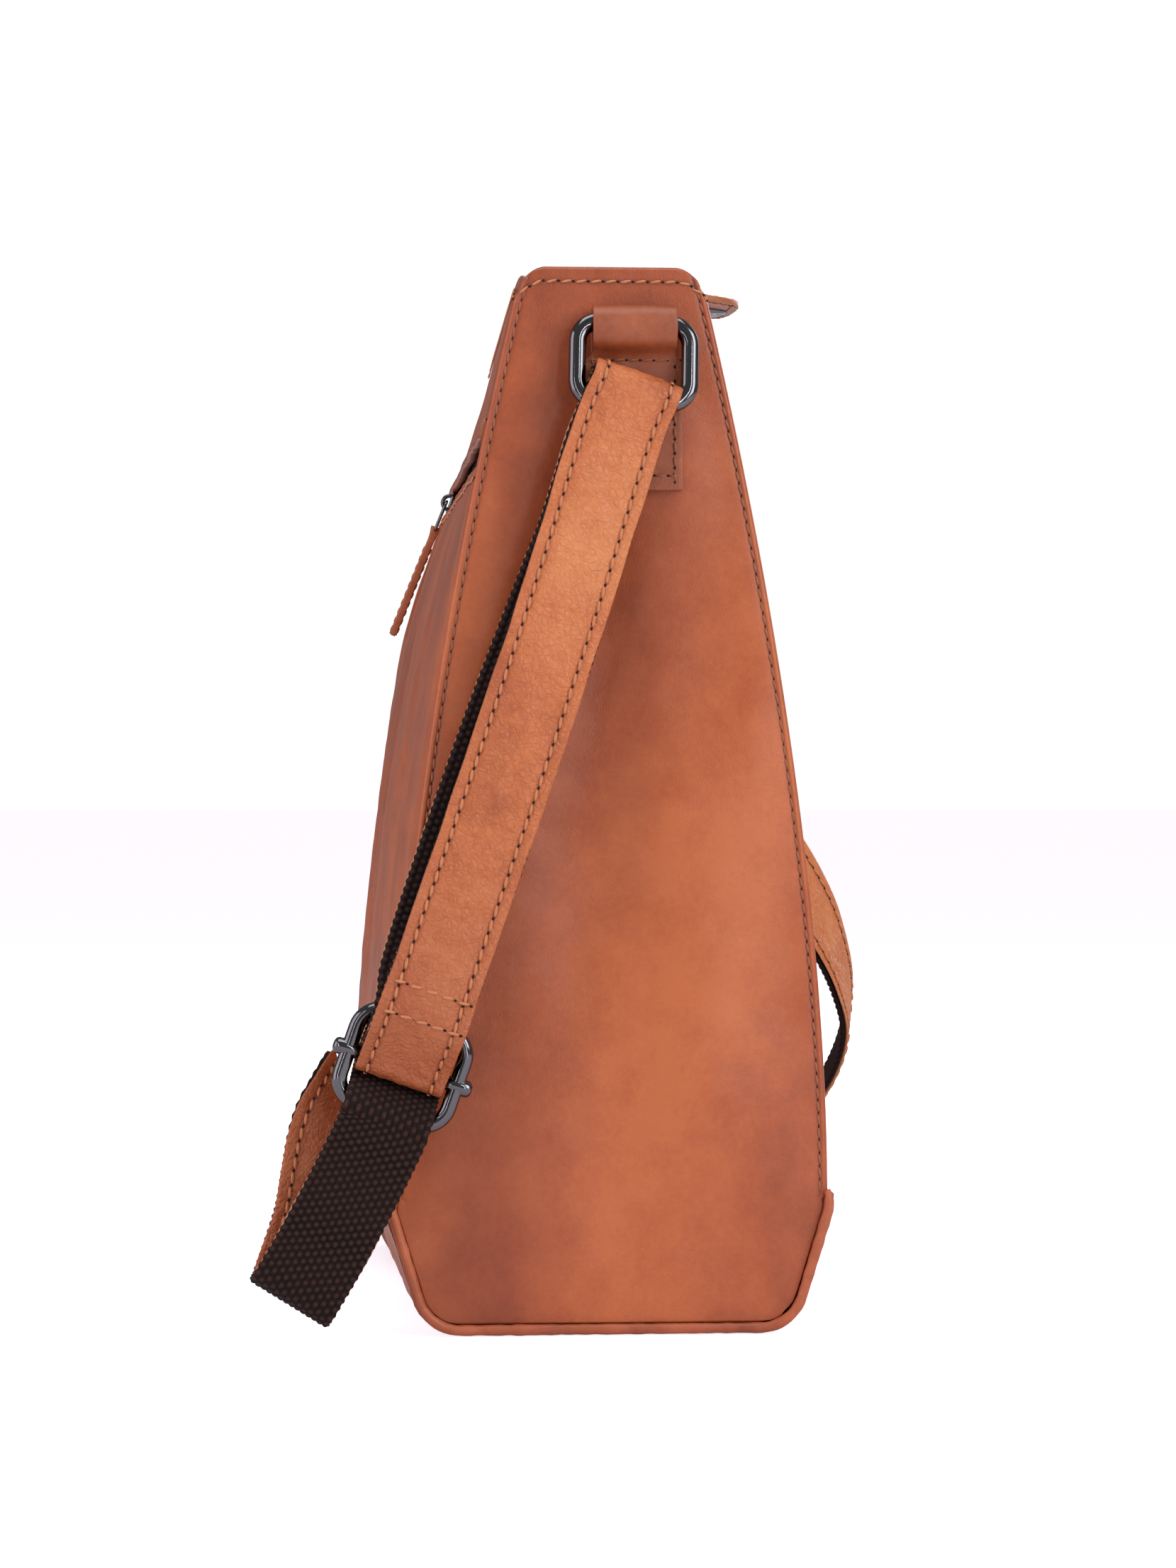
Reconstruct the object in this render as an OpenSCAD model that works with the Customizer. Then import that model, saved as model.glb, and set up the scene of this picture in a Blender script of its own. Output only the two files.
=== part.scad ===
// Small upright sling bag in smooth waxed leather.
// X runs along the bag, from the folded-in end (-X) to the end that stands open (+X).
// -Y is the side with the zip pocket, +Y is the plain side, and the floor is z = 0.

/* [Body] */
// Length from one gusset face to the other
body_w = 300; // [240:5:380]
// Height of the rim above the floor
body_h = 340; // [280:5:410]
// Depth of the body just above the boot
base_depth = 140; // [115:1:170]
// Depth of the mouth at the open end
rim_depth = 58; // [48:1:80]
// How far each side of the mouth folds in at the other end
far_pinch = 12; // [0:1:14]
// Power of the curve by which the sides lean in towards the rim
taper_power = 1.7; // [1.3:0.1:2.2]
// How far the pocket side swells out in its middle
pocket_swell = 4.5; // [1:0.5:6]
// How far the plain side swells out in its middle
plain_swell = 3; // [1:0.5:6]

/* [Leather and lining] */
// Thickness of the outer leather
leather_t = 2; // [1.4:0.1:2.4]
// Thickness of the lining cloth
lining_t = 1; // [0.6:0.1:1.2]
// Thickness of the board in the floor of the bag
board_t = 3; // [2:0.5:4]
// Diameter of the corded piping at the foot of each gusset
piping_d = 3.4; // [2.6:0.1:3.6]

/* [Boot] */
// Height of the leather boot up each side
boot_h = 44; // [36:1:60]
// Height at which the boot starts to run in towards the floor
knee_z = 40; // [30:1:42]
// Radius of the boot where it turns under the bag
foot_r = 16; // [12:1:20]
// Half depth of the flat of the boot on the floor
foot_half = 48; // [40:1:54]
// How far the side panels reach down inside the boot
boot_lap = 12; // [8:1:16]

/* [Zip pocket] */
// Distance from the rim down to the middle of the zip
zip_drop = 58.5; // [50:0.5:110]
// Height of the slot between the two folded lips
zip_slot = 10; // [9:0.5:14]
// Width of the two rows of zip teeth, closed
teeth_w = 6; // [5:0.2:7]
// Gap between the two rows, in which the slider's post runs
teeth_gap = 1.8; // [1.6:0.1:2.4]
// Length of the zip
zip_len = 272; // [200:2:280]
// Room inside the pocket, front to back
pocket_room = 12; // [9:0.5:16]
// Length of the zip slider
slider_len = 13; // [10:0.5:16]
// Length of the leather zip pull
pull_len = 44; // [30:1:60]

/* [Ring and tab] */
// Diameter of the ring's wire
ring_wire = 5.6; // [4:0.2:6]
// Width of the ring over all
ring_w = 41.6; // [39:0.2:46]
// Height of the ring over all
ring_h = 32; // [28:1:40]
// Thickness of the tab leather
tab_t = 1.8; // [1.4:0.1:2.2]
// Width of the loop that holds the ring
tab_loop_w = 26; // [20:1:28]
// Width of the patch sewn to the gusset
tab_w = 32; // [29:1:36]
// Height of the patch below the loop
tab_h = 42; // [34:1:50]
// How far the middle of the ring's top bar lies below the rim
ring_drop = 17.4; // [15:0.2:26]
// How far the tab sits from the middle of the gusset, towards the plain side
tab_y = 7; // [-10:0.5:10]

/* [Strap and slide] */
// Width of the strap
strap_w = 29; // [22:0.5:30]
// Thickness of the leather face of the strap
strap_leather_t = 1.5; // [1:0.1:1.8]
// Thickness of the webbing that backs it
strap_webbing_t = 1.6; // [1.2:0.1:1.8]
// Lean of the doubled strap from the vertical
strap_lean = 19.4; // [10:0.2:24]
// Height of the slide's centre bar above the floor
slide_z = 86.4; // [80:0.2:110]
// Width of the slide's frame over all
slide_w = 41; // [39:1:48]
// Height of the slide's frame over all
slide_h = 36; // [34:1:40]
// Diameter of the slide's frame wire
slide_wire = 5; // [4:0.2:5.4]
// Diameter of the slide's centre bar
slide_bar_d = 4.2; // [3:0.2:4.4]
// Length of the centre bar over its knobs
slide_bar_len = 46; // [44:0.5:54]

/* [Closure] */
// Width of the closure tongue
tongue_w = 64; // [44:1:80]
// Thickness of the closure tongue
tongue_t = 2.3; // [1.8:0.1:3]
// Height of the tongue's underside above the rim
tongue_lift = 3; // [2:0.2:5]
// Length of the folding tip past the rim's hinge line
tip_len = 27; // [24:1:34]
// Diameter of the magnetic snap
snap_d = 18; // [14:1:20]
// Thickness of each snap half
snap_t = 2.4; // [1.6:0.1:2.6]

/* [Hidden] */

$fn = 48;
hair = 0.1;
leather_colour = "#b8623c";
edge_colour = "#a4583c";
webbing_colour = "#2b1c1c";
metal_colour = "#4a4a4e";
lining_colour = "#6b5a48";

half_w = body_w / 2;
zip_z = body_h - zip_drop;
base_half = base_depth / 2;
rim_half = rim_depth / 2;
boot_half = base_half + leather_t;
shoulder_z = boot_h + 6;
pinch_z = body_h - 120;
foot_angle = 20;

// ---------- small tools ----------

function unit(v) = v / norm(v);
function mix(a, b, t) = a + (b - a) * t;
function smooth(t) = let (c = max(0, min(1, t))) c * c * (3 - 2 * c);
function flip(list) = [for (i = [len(list) - 1:-1:0]) list[i]];

// One solid through a list of rings. Each ring turns clockwise as seen from the last one.
// Opposite sides are split along the same diagonal, so that a twisted sheet stays even.
module skin(rings) {
    n = len(rings[0]);
    last = len(rings) - 1;
    polyhedron(
        points = [for (ring = rings) each ring],
        faces = concat(
            [for (k = [0:last - 1], i = [0:n - 1])
                let (j = (i + 1) % n, a = k * n + i, b = k * n + j, c = b + n, d = a + n)
                each i < n / 2 ? [[a, b, d], [b, c, d]] : [[a, b, c], [a, c, d]]],
            [flip([for (i = [0:n - 1]) i])],
            [[for (i = [0:n - 1]) last * n + i]]),
        convexity = 6);
}

// A sheet between the surfaces y = low(x, z) and y = high(x, z).
module sheet(x0, x1, z0, z1, low, high, nx = 10, nz = 12) {
    skin([for (i = [0:nx])
        let (x = mix(x0, x1, i / nx))
        concat([for (k = [0:nz]) let (z = mix(z0, z1, k / nz)) [x, low(x, z), z]],
               [for (k = [nz:-1:0]) let (z = mix(z0, z1, k / nz)) [x, high(x, z), z]])]);
}

// A frame of round wire in the YZ plane, centred on the origin.
module wire_frame(w, h, wire, corner) {
    y = w / 2 - wire / 2;
    z = h / 2 - wire / 2;
    for (side = [-1, 1]) {
        translate([0, side * y, 0])
            cylinder(d = wire, h = 2 * (z - corner), center = true);
        translate([0, 0, side * z]) rotate([90, 0, 0])
            cylinder(d = wire, h = 2 * (y - corner), center = true);
    }
    for (turn = [0:3]) {
        sy = turn == 0 || turn == 3 ? 1 : -1;
        sz = turn < 2 ? 1 : -1;
        translate([0, sy * (y - corner), sz * (z - corner)])
            rotate([90 * turn, 0, 0]) rotate([90, 0, 90])
                rotate_extrude(angle = 90) translate([corner, 0]) circle(d = wire);
    }
}

// ---------- outline of the body ----------

// Foot of the boot's side, where the arc that turns under begins.
foot_top = foot_r - (foot_r - leather_t) * sin(foot_angle);
foot_side = foot_half + (foot_r - leather_t) * cos(foot_angle);
flare = (base_half - foot_side) / (knee_z - foot_top);

function taper(z) = pow(max(0, (z - shoulder_z) / (body_h - shoulder_z)), taper_power);
function pinch(x, z) = far_pinch * (0.5 - x / body_w) * smooth((z - pinch_z) / (body_h - 10 - pinch_z));
function half_depth(x, z) = z < knee_z
    ? base_half - flare * (knee_z - z) - hair
    : mix(base_half, rim_half, taper(z)) - pinch(x, z) - hair;

// Swelling of a side, nothing at the gussets, at the boot and at the zip.
zip_bottom = zip_z - zip_slot / 2;
zip_top = zip_z + zip_slot / 2;
function swell(x, z, amount) =
    z < boot_h || z > zip_bottom ? 0
    : amount * (1 - pow(x / half_w, 2)) * sin(180 * (z - boot_h) / (zip_bottom - boot_h));

// Outline of the boot in [y, z], on the +Y side, from its top edge down to the floor.
function boot_edge(inset) = concat(
    [[boot_half - inset, boot_h], [boot_half - inset, knee_z]],
    [for (a = [-foot_angle:-14:-90])
        [foot_half + (foot_r - inset) * cos(a), foot_r + (foot_r - inset) * sin(a)]]);
function across(list) = [for (p = list) [-p[0], p[1]]];
function boot_outline(inset) = concat(boot_edge(inset), flip(across(boot_edge(inset))));

// ---------- leather body ----------

// Gusset: flat leather from the floor to the rim, with its foot inside the piping.
module gusset(x) {
    steps = 16;
    side = [for (k = [0:steps])
        let (z = mix(body_h, boot_h, k / steps)) [half_depth(x, z), z]];
    foot = boot_edge(leather_t + piping_d / 2);
    edge = concat(side, foot);
    translate([x - (x > 0 ? leather_t : 0), 0, 0])
        rotate([90, 0, 90]) linear_extrude(leather_t)
            polygon(concat(edge, flip(across(edge))));
}

module gusset_right() { color(leather_colour) gusset(half_w); }
module gusset_left() { color(leather_colour) gusset(-half_w); }

panel_half = half_w - leather_t - hair;
panel_foot = boot_h - boot_lap;

// Pocket side above the zip, ending in the folded upper lip.
module pocket_upper_panel() {
    color(leather_colour)
        sheet(-panel_half, panel_half, zip_top, body_h,
              function (x, z) -half_depth(x, z),
              function (x, z) -half_depth(x, z) + leather_t, nz = 6);
}

// Pocket side below the zip, swelling over the pocket.
module pocket_lower_panel() {
    color(leather_colour)
        sheet(-panel_half, panel_half, panel_foot, zip_bottom,
              function (x, z) -half_depth(x, z) - swell(x, z, pocket_swell),
              function (x, z) -half_depth(x, z) - swell(x, z, pocket_swell) + leather_t, nx = 9, nz = 15);
}

module plain_panel() {
    color(leather_colour)
        sheet(-panel_half, panel_half, panel_foot, body_h,
              function (x, z) half_depth(x, z) + swell(x, z, plain_swell) - leather_t,
              function (x, z) half_depth(x, z) + swell(x, z, plain_swell), nz = 18);
}

// Boot: one band of leather up one side, under the floor and up the other.
piping_x = half_w - 0.3;
boot_len = body_w - 2 * piping_d;
module base_boot() {
    color(leather_colour) translate([-boot_len / 2, 0, 0])
        rotate([90, 0, 90]) linear_extrude(boot_len)
            polygon(concat(boot_outline(0), flip(boot_outline(leather_t))));
}

// Piping: a leather-covered cord round the foot of a gusset.
module piping(x) {
    sides = 8;
    path = boot_outline(leather_t - 0.1);
    last = len(path) - 1;
    skin([for (k = [0:last])
        let (ahead = unit(path[min(last, k + 1)] - path[max(0, k - 1)]),
             out = [ahead[1], -ahead[0]])
        [for (s = [0:sides - 1])
            let (a = 360 * s / sides, r = piping_d / 2,
                 p = path[k] + out * r * cos(a))
            [x - r * sin(a), p[0], p[1]]]]);
}
module piping_right() { color(edge_colour) piping(piping_x + piping_d / 2); }
module piping_left() { color(edge_colour) piping(-piping_x - piping_d / 2); }

board_z = leather_t + hair;
module base_board() {
    color("tan") translate([0, 0, board_z + board_t / 2])
        cube([body_w - 10, 2 * foot_half, board_t], center = true);
}

// ---------- lining and pocket ----------

// Space kept for the pocket between the panel and the lining, closing above the zip.
pocket_gap = leather_t + 0.3;
function lining_inset(z) = mix(pocket_gap + pocket_room + 0.3, leather_t + 1.6, smooth((z - zip_z + 16) / 36));

lining_top = body_h - 12;
lining_floor = board_z + board_t + hair;
lining_half = panel_half - 0.8;
// A cup in one skin: up the outside, over the top edge and down the inside.
module lining() {
    steps = 32;
    function level(z, t) = concat(
        [for (i = [0:4]) let (x = (lining_half - t) * (i / 2 - 1)) [x, half_depth(x, z) - leather_t * 2 - t, z]],
        [for (i = [4:-1:0]) let (x = (lining_half - t) * (i / 2 - 1)) [x, -half_depth(x, z) + lining_inset(z) + t, z]]);
    color(lining_colour) skin(concat(
        [for (k = [0:steps]) level(mix(lining_floor, lining_top, k / steps), 0)],
        [for (k = [steps:-1:0]) level(mix(lining_floor + lining_t, lining_top, k / steps), lining_t)]));
}

// Pocket bag: a cloth pouch that hangs from the zip tapes.
tape_w = 14;
pouch_top = zip_z - tape_w - 4;
pouch_t = 0.8;
pouch_half = zip_len / 2;
pouch_end = 12;
function pouch_room(x) = mix(2 * pouch_t + hair, pocket_room - 0.8, smooth((pouch_half - abs(x)) / pouch_end));
// The front and back are sewn together at each end.
module pocket_bag() {
    steps = 12;
    stops = [-1, -0.94, -0.91, -0.3, 0.3, 0.91, 0.94, 1];
    function wall(x, out, z0, up) = [for (k = up ? [0:steps] : [steps:-1:0])
        let (z = mix(z0, pouch_top, k / steps)) [x, -half_depth(x, z) + pocket_gap + out, z]];
    color(lining_colour) skin([for (stop = stops)
        let (x = stop * pouch_half, room = pouch_room(x))
        concat(wall(x, 0, shoulder_z, true), wall(x, pouch_t, shoulder_z + pouch_t, false),
               wall(x, room - pouch_t, shoulder_z + pouch_t, true), wall(x, room, shoulder_z, false))]);
}

// ---------- zip ----------

// Frame of the zip: X along the teeth, -Y outwards, Z up the side of the bag.
zip_run = half_depth(half_w, zip_z) - half_depth(-half_w, zip_z);
zip_turn = atan(zip_run / body_w);
zip_lean = 19;
module on_zip() {
    translate([0, -half_depth(0, zip_z), zip_z])
        rotate([0, 0, -zip_turn]) rotate([-zip_lean, 0, 0]) children();
}

tape_t = 0.8;
tape_gap = 0.5;
tape_y = leather_t + 0.3;
teeth_t = 2.4;
// The tapes follow the inside of the panels, and stop short of the leaning teeth.
tape_drop = (tape_y + tape_t) * sin(zip_lean);
module zip_tape(z0, z1) {
    sheet(-zip_len / 2, zip_len / 2, z0, z1,
          function (x, z) -half_depth(x, z) + tape_y,
          function (x, z) -half_depth(x, z) + tape_y + tape_t, nx = 9, nz = 1);
}
module zip_tapes() {
    color(webbing_colour) {
        zip_tape(zip_z + teeth_w / 2 + tape_gap, zip_z + teeth_w / 2 + tape_w);
        zip_tape(zip_z - teeth_w / 2 - tape_w, zip_z - teeth_w / 2 - tape_gap - tape_drop);
    }
}

module zip_teeth() {
    row = (teeth_w - teeth_gap) / 2;
    color(metal_colour) on_zip() for (side = [-1, 1])
        translate([0, tape_y + tape_t / 2, side * (teeth_gap / 2 + row / 2)])
            cube([zip_len - 6, teeth_t, row], center = true);
}

// Slider: two plates joined by a post that runs between the rows of teeth.
slider_x = -zip_len / 2 + slider_len / 2 + 6;
slider_play = 0.4;
plate_t = 1.5;
slider_h = zip_slot - 1.4;
teeth_front = tape_y + tape_t / 2 - teeth_t / 2;
plate_y = teeth_front - slider_play - plate_t;
module zip_slider() {
    color(metal_colour) on_zip() translate([slider_x, 0, 0]) {
        translate([-slider_len / 2, plate_y, -slider_h / 2])
            cube([slider_len, plate_t, slider_h]);
        translate([-slider_len / 2, teeth_front + teeth_t + slider_play, -slider_h / 2])
            cube([slider_len, plate_t, slider_h]);
        translate([-slider_len / 2, plate_y + plate_t - hair, -teeth_gap / 2 + slider_play / 2])
            cube([slider_len / 3, teeth_t + 2 * slider_play + 2 * hair, teeth_gap - slider_play]);
    }
}

// Bail: the small bridge on the slider that the pull's link hangs from.
bail_r = 3;
bail_wire = 1.6;
module zip_bail() {
    color(metal_colour) on_zip() translate([slider_x, plate_y, 0])
        rotate([90, 0, 90]) translate([0, 0, -1.2])
            linear_extrude(2.4) difference() {
                intersection() {
                    circle(r = bail_r);
                    translate([-bail_r, -bail_r]) square([bail_r, 2 * bail_r]);
                }
                circle(r = bail_r - bail_wire / 2);
            }
}

// Pull: a wire link round the bail, then a doubled leather strip through the link.
// The pull turns about an axis along the zip, under the bail.
pull_y = plate_y - 1.1;
link_wire = 1.2;
link_w = 9;
link_len = 13;
pull_w = 7;
pull_t = 2.6;
pull_out = 3;
module on_pull() { on_zip() translate([slider_x, pull_y, 0]) rotate([-pull_out, 0, 0]) children(); }
module zip_pull_link() {
    color(metal_colour) on_pull()
        translate([0, 0, -link_len / 2 + link_wire / 2])
            rotate([0, 0, 90]) wire_frame(link_w, link_len, link_wire, 1.2);
}
module zip_pull_leather() {
    eye = link_len - link_wire;
    color(edge_colour) on_pull() {
        difference() {
            union() {
                translate([0, 0, -eye]) rotate([0, 90, 0])
                    cylinder(d = pull_t + 1.2, h = pull_w - 2, center = true);
                translate([-pull_w / 2, -pull_t / 2, -eye - pull_len])
                    cube([pull_w, pull_t, pull_len - 0.6]);
            }
            translate([0, 0, -eye]) rotate([0, 90, 0])
                cylinder(d = link_wire + 0.5, h = pull_w + 2, center = true);
        }
    }
}

// ---------- rings and their tabs ----------

ring_z = body_h - ring_drop;
ring_play = 1;
loop_bore = ring_wire / 2 + ring_play;
loop_x = tab_t + loop_bore;
ring_reach = ring_h - ring_wire;
ring_kick = 5.1;
ring_tilt = asin(ring_kick / ring_reach);
ring_turn = 1.6;
ring_corner = 6.6;
bar_x = loop_x + ring_kick;
bar_z = ring_z - ring_reach * cos(ring_tilt);

// The same place on either gusset, in the frame x = distance out from the face.
module on_gusset(side) {
    translate([side * half_w, tab_y, 0]) rotate([0, 0, side > 0 ? 0 : 180]) children();
}

module ring_tab(side) {
    loop_top = loop_bore + tab_t;
    patch_top = ring_z - loop_top - 5.5;
    color(edge_colour) on_gusset(side) rotate([90, 0, 0]) {
        translate([0, 0, -tab_loop_w / 2]) linear_extrude(tab_loop_w) difference() {
            union() {
                translate([loop_x, ring_z]) circle(r = loop_top);
                polygon([[0, patch_top - 1], [2 * tab_t, patch_top - 1],
                         [loop_x + loop_top * cos(-25), ring_z + loop_top * sin(-25)],
                         [loop_x, ring_z], [0, ring_z]]);
            }
            translate([loop_x, ring_z]) circle(r = loop_bore);
        }
        translate([0, patch_top - tab_h, -tab_w / 2]) cube([2 * tab_t, tab_h, tab_w]);
    }
}
module ring_tab_right() { ring_tab(1); }
module ring_tab_left() { ring_tab(-1); }

// Ring: hangs from its top bar and is pushed out at the bottom by the strap behind it.
module ring(side) {
    color(metal_colour) on_gusset(side)
        translate([loop_x, 0, ring_z]) rotate([-ring_turn, 0, 0]) rotate([0, -ring_tilt, 0])
            translate([0, 0, -ring_reach / 2])
                wire_frame(ring_w, ring_h, ring_wire, ring_corner);
}
module ring_right() { ring(1); }
module ring_left() { ring(-1); }

// ---------- strap ----------

// Distance from the ring's lower bar to the slide's centre bar, along the doubled strap.
slide_s = (bar_z - slide_z) / cos(strap_lean);
slide_x = 11.5;
slide_corner = 5.6;
slide_reach = slide_h / 2 - slide_wire / 2;
wrap = strap_webbing_t + 0.4;
ring_wrap = ring_wire / 2 + wrap;
bar_wrap = slide_bar_d / 2 + wrap - 0.1;
over_bar = slide_wire / 2 + wrap - 0.1;

// A place on the doubled strap: s down from the ring, x out from the gusset's face.
function limb(s, x, shift = 0) = [
    half_w + x,
    tab_y - s * sin(strap_lean) + shift * cos(strap_lean),
    bar_z - s * cos(strap_lean) - shift * sin(strap_lean),
    0, cos(strap_lean), -sin(strap_lean)];
// A place with the width's direction given by its dip below +Y.
function dipped(x, y, z, dip) = [x, y, z, 0, cos(dip), -sin(dip)];
function slide_turn(a) = limb(slide_s - bar_wrap * sin(a), slide_x + bar_wrap * cos(a));
// The leaning strap turns above the bar, clear of it across its whole width.
ring_lift = 6.8;
ring_shift = -3.3;
function ring_bend(a) = limb(-ring_lift - ring_wrap * sin(a), bar_x + ring_wrap * cos(a), ring_shift);

top_s = slide_s - slide_reach;
low_s = slide_s + slide_reach;
side_y = -boot_half - 12;
far_y = boot_half;
flat_z = strap_webbing_t + 0.8;
edge_z = strap_w / 2 + 1.2;
tail_len = 36;

// Sewn tail, round the slide's centre bar, up as the outer layer and over the ring's bar.
strap_doubled = concat(
    [limb(slide_s - tail_len, 20.9), limb(top_s - 7, 22), limb(top_s, 21.6),
     limb(slide_s - 9.4, 17.5), limb(slide_s - 3, 8.9)],
    [for (a = [180:45:360]) slide_turn(a)],
    [limb(slide_s - 4.4, 18), limb(slide_s - 9.4, 22.1), limb(top_s, 25.5),
     limb(top_s - 8, 25.4), limb(slide_s * 0.8, 23.6), limb(slide_s * 0.55, 19.6),
     limb(slide_s * 0.3, 16.8, -0.8), limb(12, bar_x + ring_wrap, -2.6)],
    [for (a = [0:45:180]) ring_bend(a)]);
// Inner layer down to the slide, through it, and on to the fold near the floor.
strap_inner = [
    limb(14, bar_x - ring_wrap, -2.8), limb(30, 5.6, -2.2), limb(46, 4.4, -1.8), limb(64, 3.4, -2.4),
    limb(slide_s * 0.5, 2.8, -3.6), limb(slide_s * 0.75, 4.5, -3.6), limb(top_s - 14, 11, -3),
    limb(top_s - 6, 16.4, -1.6), limb(top_s, slide_x + over_bar + 1.6, -0.8),
    limb(slide_s - 11.4, 13.9, -0.6), limb(slide_s - 5.4, 6.1, -0.5), limb(slide_s, 2.8, -0.3),
    limb(slide_s + 5.6, 5), limb(low_s - 5, 13), limb(low_s, slide_x + over_bar + 1.7),
    limb(low_s + 6, 16.8)];
// Hanging fold at the foot of the open end, and back up to the arch.
strap_fold = [
    dipped(half_w + 15.6, -boot_half - 10, 50, 24), dipped(half_w + 15, -boot_half - 20, 31, 29),
    dipped(half_w + 14, -boot_half - 27.5, 18, 32), dipped(half_w + 10.5, -boot_half - 29.8, 13.8, 32),
    dipped(half_w + 5, -boot_half - 30, 13, 32), dipped(half_w + 0.5, -boot_half - 28.6, 15.6, 32),
    dipped(half_w - 2, -boot_half - 25.4, 24, 33), dipped(half_w - 2, -boot_half - 21, 38, 35),
    dipped(half_w - 1.5, -boot_half - 18.5, 52, 40), dipped(half_w - 3, -boot_half - 16.4, 64, 50),
    dipped(half_w - 8, -boot_half - 13.6, 73, 62), dipped(half_w - 18, -boot_half - 12, 76.5, 70)];
// Run on edge along the pocket side, down to the floor and round the far end.
strap_run = [
    dipped(half_w * 0.7, side_y, 70, 80), dipped(half_w * 0.4, side_y, 57, 87),
    dipped(0, side_y, 42, 90), dipped(-half_w * 0.4, side_y - 2, 28, 90),
    dipped(-half_w * 0.73, side_y - 4, 18, 90), dipped(-half_w, side_y - 2, edge_z, 90),
    [-half_w - 27, side_y + 14, edge_z, 0, 0, -1], [-half_w - 39, side_y + 42, edge_z - 0.6, -0.2, 0, -0.98],
    [-half_w - 41, side_y + 74, 12.4, -0.72, 0, -0.7], [-half_w - 39, side_y + 104, 6, -0.97, 0, -0.22],
    [-half_w - 37, side_y + 130, flat_z, -1, 0, 0]];
// Up from the floor, out past the plain side, and in to the far ring.
// Its heights follow the ring's lower bar.
rise = bar_z / 296.7;
strap_rise = [
    [-half_w - 35, far_y - 8, flat_z + 5, -1, 0, 0], [-half_w - 33, far_y + 14, 22 * rise, -1, 0, 0],
    [-half_w - 31, far_y + 32, 45 * rise, -1, 0, 0], [-half_w - 29.5, far_y + 44, 62 * rise, -1, 0.02, 0],
    [-half_w - 28, far_y + 50, 80 * rise, -0.99, 0.12, 0], [-half_w - 25, far_y + 48.5, 99 * rise, -0.92, 0.38, 0],
    [-half_w - 21, far_y + 41.5, 118 * rise, -0.8, 0.6, 0], [-half_w - 17, far_y + 32, 135 * rise, -0.68, 0.73, 0],
    [-half_w - 12.5, far_y + 16, 157 * rise, -0.5, 0.86, 0], [-half_w - 9.6, far_y - 3, 182 * rise, -0.3, 0.95, 0],
    [-half_w - 8, far_y - 22, 209 * rise, -0.12, 0.99, 0]];
far_lean = 20;
far_drop = bar_z - 209 * rise;
function far_limb(s, x, shift = 0) = [
    -half_w - x, tab_y + s * sin(far_lean) - shift * cos(far_lean), bar_z - s * cos(far_lean) - shift * sin(far_lean),
    0, cos(far_lean), sin(far_lean)];
function far_bend(a) = far_limb(-ring_lift - ring_wrap * sin(a), bar_x - ring_wrap * cos(a), ring_shift);
strap_far = concat(
    [far_limb(far_drop * 0.62, 6.4), far_limb(far_drop * 0.36, 6, -1.2), far_limb(12, bar_x - ring_wrap, -3)],
    [for (a = [0:45:180]) far_bend(a)],
    [far_limb(8, bar_x + ring_wrap, -2.8), far_limb(20, bar_x + ring_wrap - 1.6, -1.8),
     far_limb(34, bar_x - 0.6, -1), far_limb(46, bar_x - 0.7, -0.6)]);
strap_route = concat(strap_doubled, strap_inner, strap_fold, strap_run, strap_rise, strap_far);

open_end = len(strap_doubled) + len(strap_inner) + len(strap_fold) - 1;
floor_end = open_end + len(strap_run);
far_end = len(strap_route) - 1;
cut = 0.02;
floor_cut = 0.17;

// Place on the route at u, by a curve through the listed points.
function route_at(u) =
    let (last = len(strap_route) - 1, i = min(last - 1, floor(u)), t = u - i,
         a = strap_route[max(0, i - 1)], b = strap_route[i],
         c = strap_route[i + 1], d = strap_route[min(last, i + 2)])
    0.5 * (2 * b + (c - a) * t + (2 * a - 5 * b + 4 * c - d) * t * t
           + (3 * b - a - 3 * c + d) * t * t * t);
function place(p) = [p[0], p[1], p[2]];
function ribbon_ring(u, low, high) =
    let (p = place(route_at(u)),
         ahead = unit(place(route_at(min(far_end, u + 0.05))) - place(route_at(max(0, u - 0.05)))),
         q = route_at(u), raw = [q[3], q[4], q[5]],
         side = unit(raw - ahead * (raw * ahead)) * strap_w / 2,
         face = unit(cross(side, ahead)))
    [p + side + face * low, p + side + face * high, p - side + face * high, p - side + face * low];

// One layer of the strap, from u0 to u1 along the route.
module strap_layer(u0, u1, steps, low, high) {
    skin([for (k = [0:steps]) ribbon_ring(mix(u0, u1, k / steps), low, high)]);
}
module strap_leather(u0, u1, steps) {
    color(leather_colour) strap_layer(u0, u1, steps, 1.5 * hair, strap_leather_t);
}
module strap_webbing(u0, u1, steps) {
    color(webbing_colour) strap_layer(u0, u1, steps, -strap_webbing_t, -1.5 * hair);
}
module strap_leather_right() { strap_leather(0, open_end, 2 * open_end); }
module strap_webbing_right() { strap_webbing(0, open_end, 2 * open_end); }
module strap_leather_run() { strap_leather(open_end + cut, floor_end - floor_cut, 44); }
module strap_webbing_run() { strap_webbing(open_end + cut, floor_end - floor_cut, 44); }
module strap_leather_left() { strap_leather(floor_end, far_end, 64); }
module strap_webbing_left() { strap_webbing(floor_end, far_end, 64); }

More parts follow.
